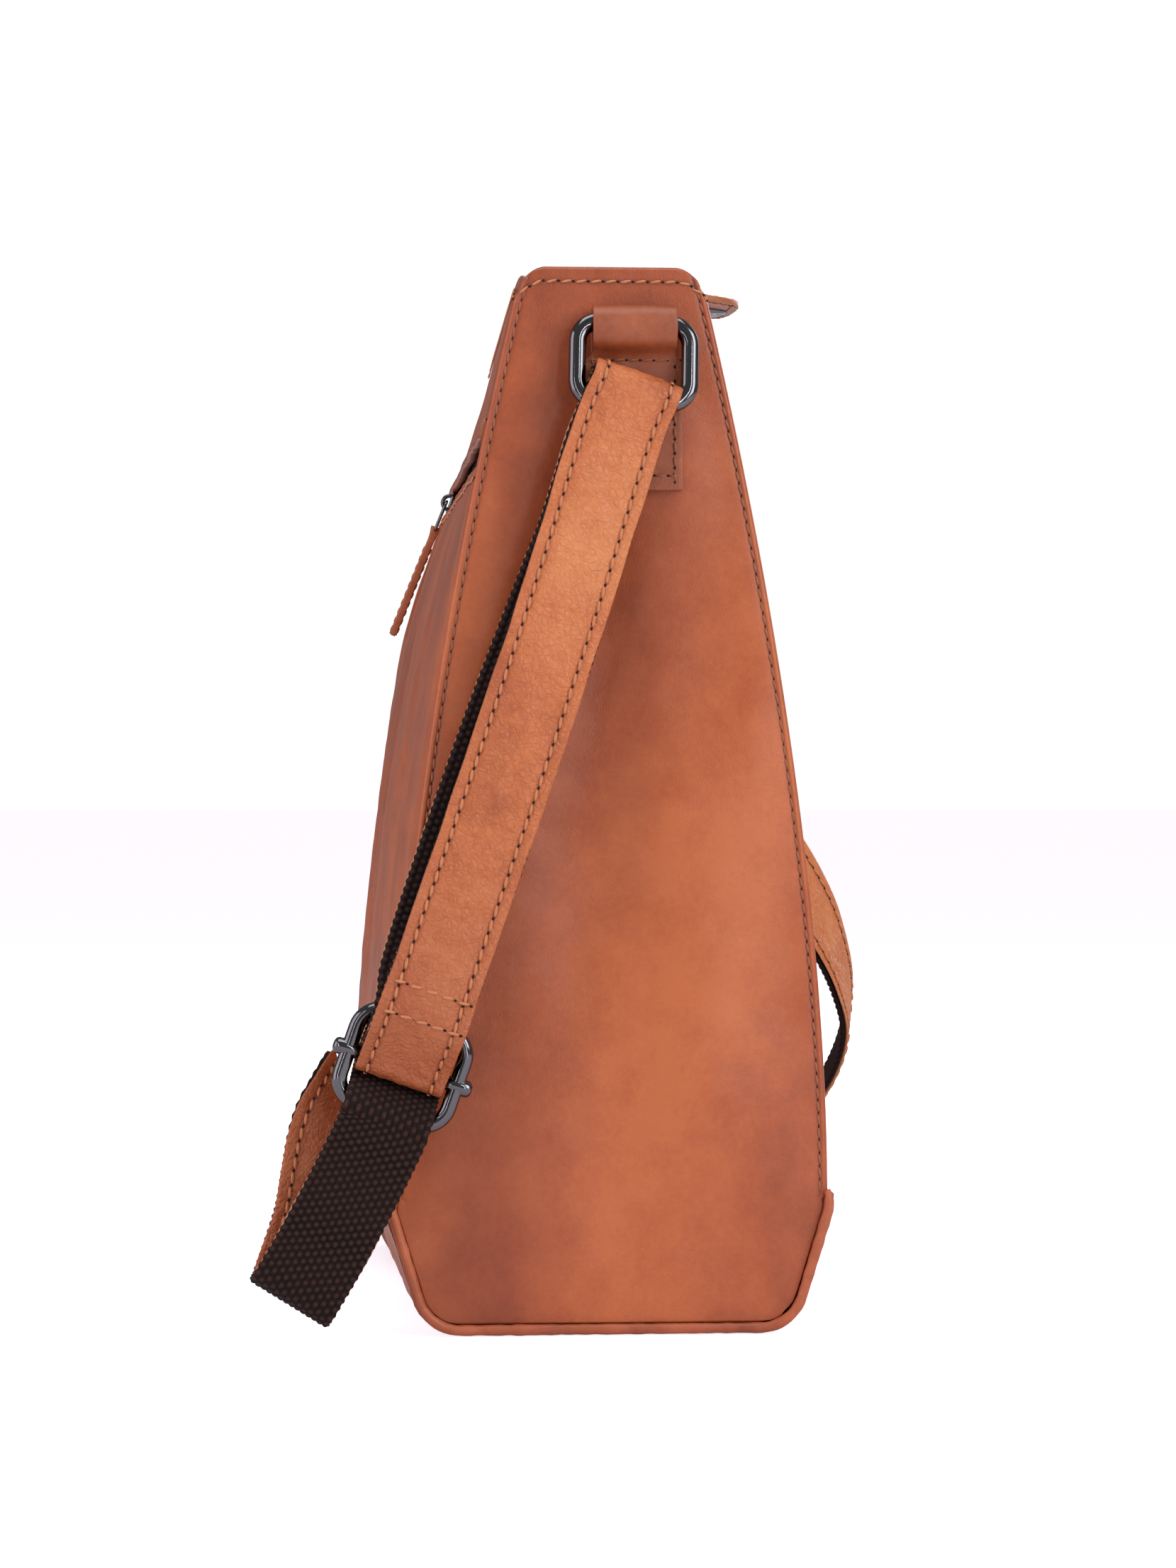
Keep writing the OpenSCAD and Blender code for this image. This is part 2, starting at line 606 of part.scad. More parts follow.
// Slide: frame and centre bar, square to the doubled strap.
module on_slide() {
    at = limb(slide_s, slide_x);
    translate(place(at)) rotate([-strap_lean, 0, 0]) children();
}
bar_hole = 0.05;
module slide_frame() {
    color(metal_colour) on_slide() difference() {
        wire_frame(slide_w, slide_h, slide_wire, slide_corner);
        rotate([90, 0, 0]) cylinder(d = slide_bar_d + bar_hole, h = slide_w + 2, center = true);
    }
}
module slide_bar() {
    knob = slide_bar_d + 1;
    color(metal_colour) on_slide() rotate([90, 0, 0]) {
        cylinder(d = slide_bar_d, h = slide_bar_len - 3, center = true);
        for (side = [-1, 1]) translate([0, 0, side * (slide_bar_len / 2 - 1.2)])
            cylinder(d = knob, h = 2.4, center = true);
    }
}

// ---------- closure ----------

tongue_z = body_h + tongue_lift;
rim_mid = half_depth(0, body_h);
tongue_root = -rim_mid + leather_t;
fold_y = rim_mid + 7.5;
tip_gap = 0.4;

// Anchor: the end of the tongue that is sewn to the lining behind the pocket side.
rim_turn = atan((half_depth(half_w, body_h) - half_depth(-half_w, body_h)) / body_w);
anchor_h = 42;
module closure_tongue_anchor() {
    steps = 6;
    face = [for (k = [0:steps])
        let (z = body_h - 0.5 - anchor_h * k / steps)
        [-half_depth(0, z) + lining_inset(z) + lining_t + 1, z]];
    inner = [for (p = flip(face)) [p[0] + tongue_t, p[1]]];
    color(edge_colour) translate([0, -rim_mid, 0]) rotate([0, 0, -rim_turn]) translate([0, rim_mid, 0])
        rotate([90, 0, 90]) linear_extrude(tongue_w, center = true) polygon(concat(face, inner));
}

module closure_tongue() {
    color(edge_colour) translate([-tongue_w / 2, tongue_root, tongue_z])
        cube([tongue_w, fold_y - tip_gap - tongue_root, tongue_t]);
}

// Tip: straight from the fold, then round.
module closure_tongue_tip() {
    corner = 20;
    color(edge_colour) translate([0, fold_y, tongue_z]) linear_extrude(tongue_t) {
        translate([-tongue_w / 2, 0]) square([tongue_w, tip_len - corner]);
        intersection() {
            translate([-tongue_w / 2, tip_len - corner - hair]) square([tongue_w, corner + hair]);
            union() {
                for (side = [-1, 1]) translate([side * (tongue_w / 2 - corner), tip_len - corner])
                    circle(r = corner);
                translate([-tongue_w / 2 + corner, 0]) square([tongue_w - 2 * corner, tip_len]);
            }
        }
    }
}

// Magnetic snap: the stud under the tip meets the socket on the plain side.
snap_arm = 15.5;
module snap_stud() {
    color(metal_colour) translate([0, fold_y + snap_arm, tongue_z - snap_t - hair])
        cylinder(d = snap_d, h = snap_t);
}
socket_z = tongue_z - snap_arm;
socket_lean = atan((half_depth(0, socket_z - 5) - half_depth(0, socket_z + 5)) / 10);
module on_plain_side(out) {
    translate([0, half_depth(0, socket_z) + out, socket_z])
        rotate([-90 - socket_lean + 2 * socket_lean, 0, 0]) children();
}
module snap_socket() {
    color(metal_colour) on_plain_side(0.6) cylinder(d = snap_d, h = snap_t);
}
module snap_washer() {
    color(metal_colour) on_plain_side(-leather_t - 1.2) cylinder(d = snap_d - 2, h = 0.6);
}

gusset_right();
gusset_left();
pocket_upper_panel();
pocket_lower_panel();
plain_panel();
base_boot();
piping_right();
piping_left();
base_board();
lining();
pocket_bag();
zip_tapes();
zip_teeth();
zip_slider();
zip_bail();
zip_pull_link();
zip_pull_leather();
ring_tab_right();
ring_tab_left();
ring_right();
ring_left();
strap_leather_right();
strap_webbing_right();
strap_leather_run();
strap_webbing_run();
strap_leather_left();
strap_webbing_left();
slide_frame();
slide_bar();
closure_tongue_anchor();
closure_tongue();
closure_tongue_tip();
snap_stud();
snap_socket();
snap_washer();
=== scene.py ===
# %% [markdown]
# # An upright sling bag, dressed round its CAD parts
# A small bag of smooth waxed leather with a zip pocket, two rings and a strap of webbing
# faced with leather. The CAD model fixes every size and every joint. This lesson builds the
# look round it: leather shells that sag a little, real stitches, woven webbing and polished
# metal. Lengths in the helpers are in millimetres, because a bag maker thinks in them, and
# each mesh is turned to metres when it is made.

# %% Start: load the frame
import math

import bmesh
import bpy
import numpy as np
from mathutils import Matrix, Vector


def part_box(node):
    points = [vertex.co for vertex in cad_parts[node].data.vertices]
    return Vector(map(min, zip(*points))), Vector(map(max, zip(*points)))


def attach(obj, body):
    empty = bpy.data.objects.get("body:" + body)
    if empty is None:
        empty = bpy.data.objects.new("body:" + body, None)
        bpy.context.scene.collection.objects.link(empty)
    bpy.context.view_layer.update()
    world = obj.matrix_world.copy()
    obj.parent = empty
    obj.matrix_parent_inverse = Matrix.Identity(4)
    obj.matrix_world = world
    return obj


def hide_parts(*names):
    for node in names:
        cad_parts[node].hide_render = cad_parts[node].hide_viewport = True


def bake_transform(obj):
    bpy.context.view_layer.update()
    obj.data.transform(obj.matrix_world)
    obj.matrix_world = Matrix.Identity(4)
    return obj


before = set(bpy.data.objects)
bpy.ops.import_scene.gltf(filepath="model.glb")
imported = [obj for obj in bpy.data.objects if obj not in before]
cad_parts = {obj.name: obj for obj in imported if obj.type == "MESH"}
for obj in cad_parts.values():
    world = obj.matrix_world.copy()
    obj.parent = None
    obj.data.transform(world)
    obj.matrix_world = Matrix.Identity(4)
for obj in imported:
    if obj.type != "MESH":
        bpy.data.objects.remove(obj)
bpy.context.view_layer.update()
MM = 0.001

# %% [markdown]
# ## Sizes of the bag
# The side panels lean in towards the rim on a curve, and the folded-in end of the mouth is
# narrower than the open one. The same few formulas as in the CAD source give the depth of the
# bag at any place, so that every shell below lies on the CAD part that it stands for.

# %% Outline of the body
HALF_W, BODY_H = 150.0, 340.0
BASE_HALF, RIM_HALF = 70.0, 29.0
SHOULDER_Z, KNEE_Z, BOOT_H = 50.0, 40.0, 44.0
FOOT_R, FOOT_HALF, LEATHER_T, FOOT_ANGLE = 16.0, 48.0, 2.0, 20.0
PIPING_R = 1.7
ZIP_Z, ZIP_SLOT = 281.5, 10.0


def smooth(t):
    t = np.clip(t, 0.0, 1.0)
    return t * t * (3 - 2 * t)


def half_depth(x, z):
    """Half the bag's depth at x along it and z above the floor."""
    x, z = np.asarray(x, float), np.asarray(z, float)
    lean = np.clip((z - SHOULDER_Z) / (BODY_H - SHOULDER_Z), 0, 1.1) ** 1.7
    pinch = 12 * (0.5 - x / (2 * HALF_W)) * smooth((z - (BODY_H - 120)) / 110)
    foot_side = FOOT_HALF + (FOOT_R - LEATHER_T) * math.cos(math.radians(FOOT_ANGLE))
    foot_top = FOOT_R - (FOOT_R - LEATHER_T) * math.sin(math.radians(FOOT_ANGLE))
    flare = (BASE_HALF - foot_side) / (KNEE_Z - foot_top)
    side = BASE_HALF + (RIM_HALF - BASE_HALF) * lean - pinch
    return np.where(z < KNEE_Z, BASE_HALF - flare * (KNEE_Z - z), side) - 0.1


def swell(x, z, amount):
    """How far a side panel stands out in its middle, nothing at the seams, boot and zip."""
    low, high = BOOT_H, ZIP_Z - ZIP_SLOT / 2
    rise = np.sin(np.pi * np.clip((z - low) / (high - low), 0, 1))
    return amount * (1 - (x / HALF_W) ** 2) * rise


def boot_edge(inset):
    """The boot's outline on the +Y side, from its top edge down to the floor, as (y, z)."""
    top = BASE_HALF + LEATHER_T - inset
    turn = np.radians(np.arange(-FOOT_ANGLE, -90.1, -5))
    arc = [(FOOT_HALF + (FOOT_R - inset) * math.cos(a),
        FOOT_R + (FOOT_R - inset) * math.sin(a)) for a in turn]
    return [(top, BOOT_H), (top, KNEE_Z)] + arc


low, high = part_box("gusset_right")
print("gusset is", round((high.y - low.y) / MM, 1), "mm deep; the formula gives",
    round(2 * float(half_depth(150, 50)), 1))

# %% [markdown]
# ## Gentle relief
# Leather never lies flat. A sum of a few long cosine waves with random directions gives soft
# dents whose width is set in millimetres, and a fixed seed keeps them the same each time.


# %% Relief and curve helpers
def ripple(a, b, size, seed, waves=12):
    """Random soft relief, mostly within -1 to 1, whose bumps are about size mm wide."""
    rng = np.random.default_rng(seed)
    total = 0
    for _ in range(waves):
        angle, phase = rng.uniform(0, 2 * math.pi, 2)
        k = rng.uniform(0.55, 1.5) * math.pi / size
        total = total + np.cos(k * (a * math.cos(angle) + b * math.sin(angle)) + phase)
    return total / math.sqrt(waves) * 0.8


def between(a, b, c, d, t):
    """The place at t from b to c on the smooth curve through a, b, c and d."""
    return 0.5 * (2 * b + (c - a) * t + (2 * a - 5 * b + 4 * c - d) * t**2
        + (3 * b - a - 3 * c + d) * t**3)


def spline(points, step):
    """A smooth curve through points, as evenly spaced places about step mm apart."""
    p = np.asarray(points, float)
    p = np.vstack([2 * p[0] - p[1], p, 2 * p[-1] - p[-2]])
    fine = []
    for i in range(1, len(p) - 2):
        t = np.linspace(0, 1, 24, endpoint=False)[:, None]
        fine.append(between(*p[i - 1 : i + 3], t))
    fine = np.vstack(fine + [p[-2:-1]])
    return evenly(fine, step)


def evenly(line, step):
    """The same line, as evenly spaced places about step mm apart."""
    run = np.concatenate([[0], np.cumsum(np.linalg.norm(np.diff(line[:, :3], axis=0), axis=1))])
    count = max(2, int(round(run[-1] / step)) + 1)
    at = np.linspace(0, run[-1], count)
    return np.stack([np.interp(at, run, line[:, k]) for k in range(line.shape[1])], 1)


def unit(v):
    return v / np.maximum(np.linalg.norm(v, axis=-1, keepdims=True), 1e-9)


def sampled(*parts):
    """Places from several (start, stop, count) runs, joined without doubles."""
    return np.unique(np.round(np.concatenate([np.linspace(*p) for p in parts]), 4))

# %% [markdown]
# ## Making a mesh
# Every shell here is a loop of points swept along a line: a panel is the loop of its outer
# face, hem and inner face swept along the bag, and a wire is a circle swept along its path.
# One function builds such a sweep, closes its ends, gives it UVs in metres along and across,
# and turns its faces outwards.


# %% Mesh helpers
def placed(name, data):
    made = bpy.data.objects.new(name, data)
    bpy.context.scene.collection.objects.link(made)
    return made


def piece(name, points, faces, finishes, uvs=None, face_finish=None, shade=None, flat=False):
    """A mesh object from points in mm. uvs has one pair for each corner of each face."""
    mesh = bpy.data.meshes.new(name)
    points, faces = np.asarray(points, float) * MM, [list(map(int, f)) for f in faces]
    mesh.from_pydata(points.tolist(), [], faces)
    for finish in finishes:
        mesh.materials.append(finish)
    if uvs is not None:
        mesh.uv_layers.new(name="UVMap").data.foreach_set("uv", np.asarray(uvs, np.float32).ravel())
    if face_finish is not None:
        mesh.polygons.foreach_set("material_index", np.asarray(face_finish, np.int32))
    if shade is not None:
        layer = mesh.attributes.new("shade", "FLOAT", "POINT")
        layer.data.foreach_set("value", np.asarray(shade, np.float32).ravel())
    mesh.polygons.foreach_set("use_smooth", [not flat] * len(mesh.polygons))
    mesh.validate()
    return placed(name, mesh)


def swept(name, rings, finishes, strips=None, shade=None, closed=False, flat=False):
    """A closed skin through rings, an (n, m, 3) array in mm. strips gives the finish of each
    of the m strips round the ring. With closed, the last ring joins the first."""
    rings = np.asarray(rings, float)
    n, m, _ = rings.shape
    index = np.arange(n * m).reshape(n, m)
    if closed:
        rings_next, rows = np.roll(index, -1, 0), n
    else:
        rings_next, rows = index[1:], n - 1
    near, far = index[:rows], rings_next[:rows]
    quads = np.stack([near, np.roll(near, -1, 1), np.roll(far, -1, 1), far], -1)
    across = np.linalg.norm(np.roll(rings, -1, 1) - rings, axis=2).mean(0)
    along = np.linalg.norm(np.roll(rings, -1, 0) - rings, axis=2).mean(1)
    u = np.concatenate([[0], np.cumsum(across)]) * MM
    v = np.concatenate([[0], np.cumsum(along)])[: rows + 1] * MM
    uu, vv = np.meshgrid(u, v)
    uv = np.stack([uu, vv], -1)
    corner_uv = np.stack([uv[:-1, :-1], uv[:-1, 1:], uv[1:, 1:], uv[1:, :-1]], 2)
    points = rings.reshape(-1, 3)
    a, b, c, d = (points[quads[..., k]] for k in range(4))
    volume = (np.einsum("ijk,ijk->ij", a, np.cross(b, c))
        + np.einsum("ijk,ijk->ij", a, np.cross(c, d))).sum()
    if not closed:
        middle = [rings[0].mean(0), rings[-1].mean(0)]
        for ring, turn, centre in ((rings[0], -1, middle[0]), (rings[-1], 1, middle[1])):
            volume += turn * np.einsum("ij,ij->i", np.broadcast_to(centre, ring.shape),
                np.cross(ring, np.roll(ring, -1, 0))).sum()
    flip = volume < 0
    if flip:
        quads, corner_uv = quads[..., ::-1], corner_uv[:, :, ::-1]
    faces = quads.reshape(-1, 4).tolist()
    uvs = corner_uv.reshape(-1, 2)
    finish = np.tile(np.zeros(m, int) if strips is None else np.asarray(strips), rows)
    if not closed:
        caps = [index[0][::-1].tolist(), index[-1].tolist()]
        if flip:
            caps = [c[::-1] for c in caps]
        faces += caps
        uvs = np.vstack([uvs, np.zeros((2 * m, 2))])
        finish = np.concatenate([finish, [finish.max()] * 2])
    return piece(name, points, faces, finishes, uvs, finish,
        None if shade is None else np.asarray(shade).reshape(-1), flat)


def follow(path, sides, outline):
    """Rings for a sweep: outline is (m, 2), set out along each place's side and face."""
    ahead = unit(np.gradient(path, axis=0))
    sides = unit(sides - ahead * np.sum(ahead * sides, 1, keepdims=True))
    faces = np.cross(sides, ahead)
    outline = np.broadcast_to(outline, (len(path), *np.shape(outline)[-2:]))
    return path[:, None] + sides[:, None] * outline[..., :1] + faces[:, None] * outline[..., 1:]


def circle(radius, count=16, square=2.0):
    """A round outline, or with square above 2 one with flatter faces."""
    a = np.linspace(0, 2 * math.pi, count, endpoint=False)
    c, s = np.cos(a), np.sin(a)
    power = 2 / square
    return radius * np.stack([np.sign(c) * np.abs(c) ** power, np.sign(s) * np.abs(s) ** power], 1)


def box_outline(width, low, high, corner, count=4):
    """A rounded oblong, width across and from low to high in thickness."""
    points = []
    corners = ((width / 2 - corner, high - corner, 0), (-width / 2 + corner, high - corner, 1),
               (-width / 2 + corner, low + corner, 2), (width / 2 - corner, low + corner, 3))
    for y, z, quarter in corners:
        for a in np.linspace(quarter * math.pi / 2, (quarter + 1) * math.pi / 2, count):
            points.append((y + corner * math.cos(a), z + corner * math.sin(a)))
    return np.array(points)


def finer(outline, count):
    """The outline with count places along each long side, so that it can take relief."""
    places = []
    for a, b in zip(outline, np.roll(outline, -1, 0)):
        places.append(a)
        if np.linalg.norm(b - a) > 5:
            places += [a + (b - a) * t for t in np.linspace(0, 1, count)[1:-1]]
    return np.array(places)


def joined(name, parts):
    """Several mesh objects made one piece, without any operator."""
    whole, finishes = bmesh.new(), []
    for part in parts:
        mesh = part.data
        places = [finishes.index(m) if m in finishes else (finishes.append(m) or len(finishes) - 1)
            for m in mesh.materials]
        first = len(whole.faces)
        whole.from_mesh(mesh)
        whole.faces.ensure_lookup_table()
        for face in whole.faces[first:]:
            face.material_index = places[face.material_index]
    mesh = bpy.data.meshes.new(name)
    whole.to_mesh(mesh)
    whole.free()
    for finish in finishes:
        mesh.materials.append(finish)
    for part in parts:
        bpy.data.objects.remove(part)
    return placed(name, mesh)


def on_body(made, body, material_slot, *nodes):
    """The piece rides on a body and stands for CAD nodes. material_slot is not used."""
    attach(made, body)
    if nodes:
        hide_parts(*nodes)
    print(made.name, len(made.data.polygons), "faces on", body)
    return made

# %% [markdown]
# ## Finishes
# The bag is smooth oil-waxed cowhide: vegetable-tanned leather whose surface has taken up wax,
# so it is mottled at several scales and shines softly. The strap is the same hide with a
# pebbled, creased grain. Cut edges are raw and pale. Colours are sRGB hex values, and one
# function turns them to the linear values that the renderer works in.


# %% Node and colour helpers
def colour(code):
    channels = [int(code[i : i + 2], 16) / 255 for i in (1, 3, 5)]
    return [c / 12.92 if c <= 0.04045 else ((c + 0.055) / 1.055) ** 2.4 for c in channels] + [1.0]


def node(tree, kind, inputs=None, **settings):
    """Adds a node with its settings and a ramp's stops, and links or sets its inputs."""
    made = tree.nodes.new(kind)
    stops = settings.pop("stops", ())
    for place, (at, code) in enumerate(stops):
        elements = made.color_ramp.elements
        element = elements.new(at) if place > 1 else elements[place]
        element.position, element.color = at, colour(code)
    for key, value in settings.items():
        setattr(made, key, value)
    for key, value in (inputs or {}).items():
        if isinstance(value, bpy.types.NodeSocket):
            tree.links.new(value, made.inputs[key])
        else:
            made.inputs[key].default_value = value
    return made


def shader_for(name, **sockets):
    """A new material, its node tree and its Principled shader with the given socket values."""
    material = bpy.data.materials.new(name)
    material.use_nodes = True
    tree = material.node_tree
    shader = tree.nodes["Principled BSDF"]
    for key, value in sockets.items():
        shader.inputs[key.replace("_", " ")].default_value = value
    return material, tree, shader

# %% [markdown]
# ### Leather
# Waxed hide has a colour that drifts over a hand's width, small clouds and specks and a fine
# grain. Painted shade darkens it along stitch grooves, at the upper lip's edge, in broad patches
# on the gussets and towards the low end of the strap. The shade attribute of each mesh says where.

# %% Leather finishes
def leather(name, dark, middle, light, grain_mm, grain, crease, roughness=0.42, coat=0.12, patch_mm=70):
    """Cowhide worked with oil and wax. Mottled at three scales, darkened by painted shade where the
    shade attribute says so, with a fine grain of grain_mm and long soft creases."""
    material, tree, shader = shader_for(name, Roughness=roughness, Coat_Weight=coat, Coat_Roughness=0.28)
    place = node(tree, "ShaderNodeTexCoord").outputs["Object"]
    drawn = node(tree, "ShaderNodeVectorMath", {0: place, 1: (1.0, 1.0, 0.4)}, operation="MULTIPLY")
    patches = node(tree, "ShaderNodeTexNoise",
        {"Vector": drawn.outputs["Vector"], "Scale": 1000 / patch_mm, "Detail": 3.0, "Distortion": 0.4})
    clouds = node(tree, "ShaderNodeTexNoise",
        {"Vector": place, "Scale": 62.0, "Detail": 5.0, "Roughness": 0.6})
    specks = node(tree, "ShaderNodeTexNoise", {"Vector": place, "Scale": 520.0, "Detail": 2.0})
    mottle = node(tree, "ShaderNodeMath",
        {0: patches.outputs["Fac"], 1: 0.62,
            2: node(tree, "ShaderNodeMath",
                {0: clouds.outputs["Fac"], 1: 0.3,
                    2: node(tree, "ShaderNodeMath", {0: specks.outputs["Fac"], 1: 0.1},
                        operation="MULTIPLY").outputs[0]}, operation="MULTIPLY_ADD").outputs[0]},
        operation="MULTIPLY_ADD").outputs[0]
    tone = node(tree, "ShaderNodeValToRGB", {"Fac": mottle},
        stops=[(0.36, dark), (0.5, middle), (0.66, light)]).outputs["Color"]
    # The shade attribute holds painted shade: the colour is multiplied towards the dark tone where it is set.
    shade = node(tree, "ShaderNodeAttribute", attribute_name="shade").outputs["Fac"]
    toned = node(tree, "ShaderNodeMix", {0: shade, 6: tone, 7: colour(dark)}, data_type="RGBA",
        blend_type="MULTIPLY")
    tree.links.new(toned.outputs[2], shader.inputs["Base Color"])
    noise = node(tree, "ShaderNodeTexNoise", {"Vector": place, "Scale": 260.0, "Detail": 2.0})
    wobble = node(tree, "ShaderNodeVectorMath", {0: noise.outputs["Color"], 1: (0.004,) * 3, 2: place},
        operation="MULTIPLY_ADD")
    cells = node(tree, "ShaderNodeTexVoronoi", {"Vector": wobble.outputs[0], "Scale": 1000 / grain_mm},
        feature="DISTANCE_TO_EDGE")
    pebbles = node(tree, "ShaderNodeMapRange", {"Value": cells.outputs["Distance"], "From Max": 0.22})
    fine = node(tree, "ShaderNodeTexNoise", {"Vector": place, "Scale": 1500.0, "Detail": 3.0})
    folds = node(tree, "ShaderNodeTexNoise",
        {"Vector": place, "Scale": 75.0, "Detail": 4.0, "Distortion": 1.6})
    bumps = node(tree, "ShaderNodeBump", {"Strength": crease, "Distance": 0.0016,
        "Height": folds.outputs["Fac"]})
    bumps = node(tree, "ShaderNodeBump", {"Strength": grain, "Distance": 0.00035,
        "Height": pebbles.outputs["Result"], "Normal": bumps.outputs["Normal"]})
    bumps = node(tree, "ShaderNodeBump", {"Strength": 0.16, "Distance": 0.0001,
        "Height": fine.outputs["Fac"], "Normal": bumps.outputs["Normal"]})
    tree.links.new(bumps.outputs["Normal"], shader.inputs["Normal"])
    gloss = node(tree, "ShaderNodeMapRange",
        {"Value": clouds.outputs["Fac"], "From Min": 0.3, "From Max": 0.7, "To Min": roughness - 0.06,
            "To Max": roughness + 0.08})
    tree.links.new(gloss.outputs["Result"], shader.inputs["Roughness"])
    return material


BODY_LEATHER = leather("waxed_cowhide", "#8e3e1b", "#a94f25", "#c06433", 0.9, 0.14, 0.10,
    roughness=0.37, coat=0.2, patch_mm=85)
STRAP_HIDE = leather("pebbled_strap_hide", "#a14c22", "#c56d3c", "#da8a55", 2.1, 0.6, 0.85,
    roughness=0.44, coat=0.05, patch_mm=55)
TAB_LEATHER = leather("tab_hide", "#7e3a1c", "#9f5230", "#b86a42", 0.9, 0.12, 0.1, roughness=0.45)
PIPING_LEATHER = leather("piping_hide", "#8a3f20", "#aa5431", "#c56c44", 0.8, 0.1, 0.15)


def plain(name, code, spread, scale, bump=0.0, **sockets):
    """A finish of one colour that wanders by spread, with a fine uneven surface."""
    material, tree, shader = shader_for(name, **sockets)
    place = node(tree, "ShaderNodeTexCoord").outputs["Object"]
    wander = node(tree, "ShaderNodeTexNoise", {"Vector": place, "Scale": scale, "Detail": 3.0})
    swing = node(tree, "ShaderNodeMapRange",
        {"Value": wander.outputs["Fac"], "To Min": 1 - spread, "To Max": 1 + spread})
    toned = node(tree, "ShaderNodeHueSaturation", {"Value": swing.outputs["Result"], "Color": colour(code)})
    tree.links.new(toned.outputs["Color"], shader.inputs["Base Color"])
    if bump:
        rough = node(tree, "ShaderNodeBump",
            {"Strength": bump, "Distance": 0.0003, "Height": wander.outputs["Fac"]})
        tree.links.new(rough.outputs["Normal"], shader.inputs["Normal"])
    return material


CUT_EDGE = plain("raw_cut_edge", "#b98260", 0.2, 700.0, 0.5, Roughness=0.8)
FLESH_SIDE = plain("suede_flesh_side", "#8f5a3d", 0.2, 500.0, 0.6, Roughness=0.9)
THREAD = plain("waxed_thread", "#c07a50", 0.2, 900.0, 0.2, Roughness=0.55)
# The seam thread is a darker copy of the tan thread: painted shade on the seams.
SHADED_THREAD = plain("thread_painted_shade", "#9a5a38", 0.2, 900.0, 0.2, Roughness=0.6)
# The needle hole is painted shade: a dark blob where the hole's shadow falls.
HOLE_SHADE = plain("painted_hole_shade", "#2a0f07", 0.1, 900.0, Roughness=0.9)
LINING_CLOTH = plain("lining_cloth", "#8a7866", 0.08, 900.0, 0.3, Roughness=0.85)
ZIP_TAPE = plain("zip_tape_cloth", "#201514", 0.1, 900.0, 0.5, Roughness=0.8)
FLOOR_BOARD = plain("grey_board", "#8f8578", 0.06, 300.0, Roughness=0.9)

# %% [markdown]
# ### Metal and webbing
# Black nickel plate shows its shape by what it reflects, so its one colour is dark and its
# surface is smooth. The webbing is dull, and its colour follows the height of the weave as
# painted shade, darker in the hollows between the yarns.

# %% Metal and webbing finishes
def polished_gunmetal():
    """Die-cast zinc, plated black nickel and polished: a dark mirror with slight waves."""
    material, tree, shader = shader_for("black_nickel_plate", Metallic=1.0, Roughness=0.1)
    shader.inputs["Base Color"].default_value = colour("#6c6b70")
    place = node(tree, "ShaderNodeTexCoord").outputs["Object"]
    waves = node(tree, "ShaderNodeTexNoise", {"Vector": place, "Scale": 120.0, "Detail": 2.0})
    bump = node(tree, "ShaderNodeBump", {"Strength": 0.05, "Distance": 0.0005,
        "Height": waves.outputs["Fac"]})
    tree.links.new(bump.outputs["Normal"], shader.inputs["Normal"])
    return material


def webbing_finish():
    """Cotton webbing, dyed dark brown: the yarns are modelled, and the fibres are drawn here."""
    material, tree, shader = shader_for("dyed_cotton_webbing", Roughness=0.85, Specular_IOR_Level=0.2,
        Sheen_Weight=0.03, Sheen_Roughness=0.5)
    place = node(tree, "ShaderNodeTexCoord").outputs["Object"]
    shade = node(tree, "ShaderNodeAttribute", attribute_name="shade").outputs["Fac"]
    fibres = node(tree, "ShaderNodeTexNoise", {"Vector": place, "Scale": 1600.0, "Detail": 2.0})
    # The weave's height in the shade attribute paints shade: the hollows between yarns come out darker.
    tone = node(tree, "ShaderNodeMath", {0: shade, 1: 0.75,
        2: node(tree, "ShaderNodeMath", {0: fibres.outputs["Fac"], 1: 0.3},
            operation="MULTIPLY").outputs[0]}, operation="MULTIPLY_ADD").outputs[0]
    tree.links.new(node(tree, "ShaderNodeValToRGB", {"Fac": tone},
        stops=[(0.2, "#060303"), (0.6, "#20110f"), (1.0, "#4a2f2a")]).outputs["Color"],
        shader.inputs["Base Color"])
    bump = node(tree, "ShaderNodeBump", {"Strength": 0.4, "Distance": 0.0003,
        "Height": fibres.outputs["Fac"]})
    tree.links.new(bump.outputs["Normal"], shader.inputs["Normal"])
    return material


GUNMETAL = polished_gunmetal()
WEBBING = webbing_finish()
print(len(bpy.data.materials), "materials")
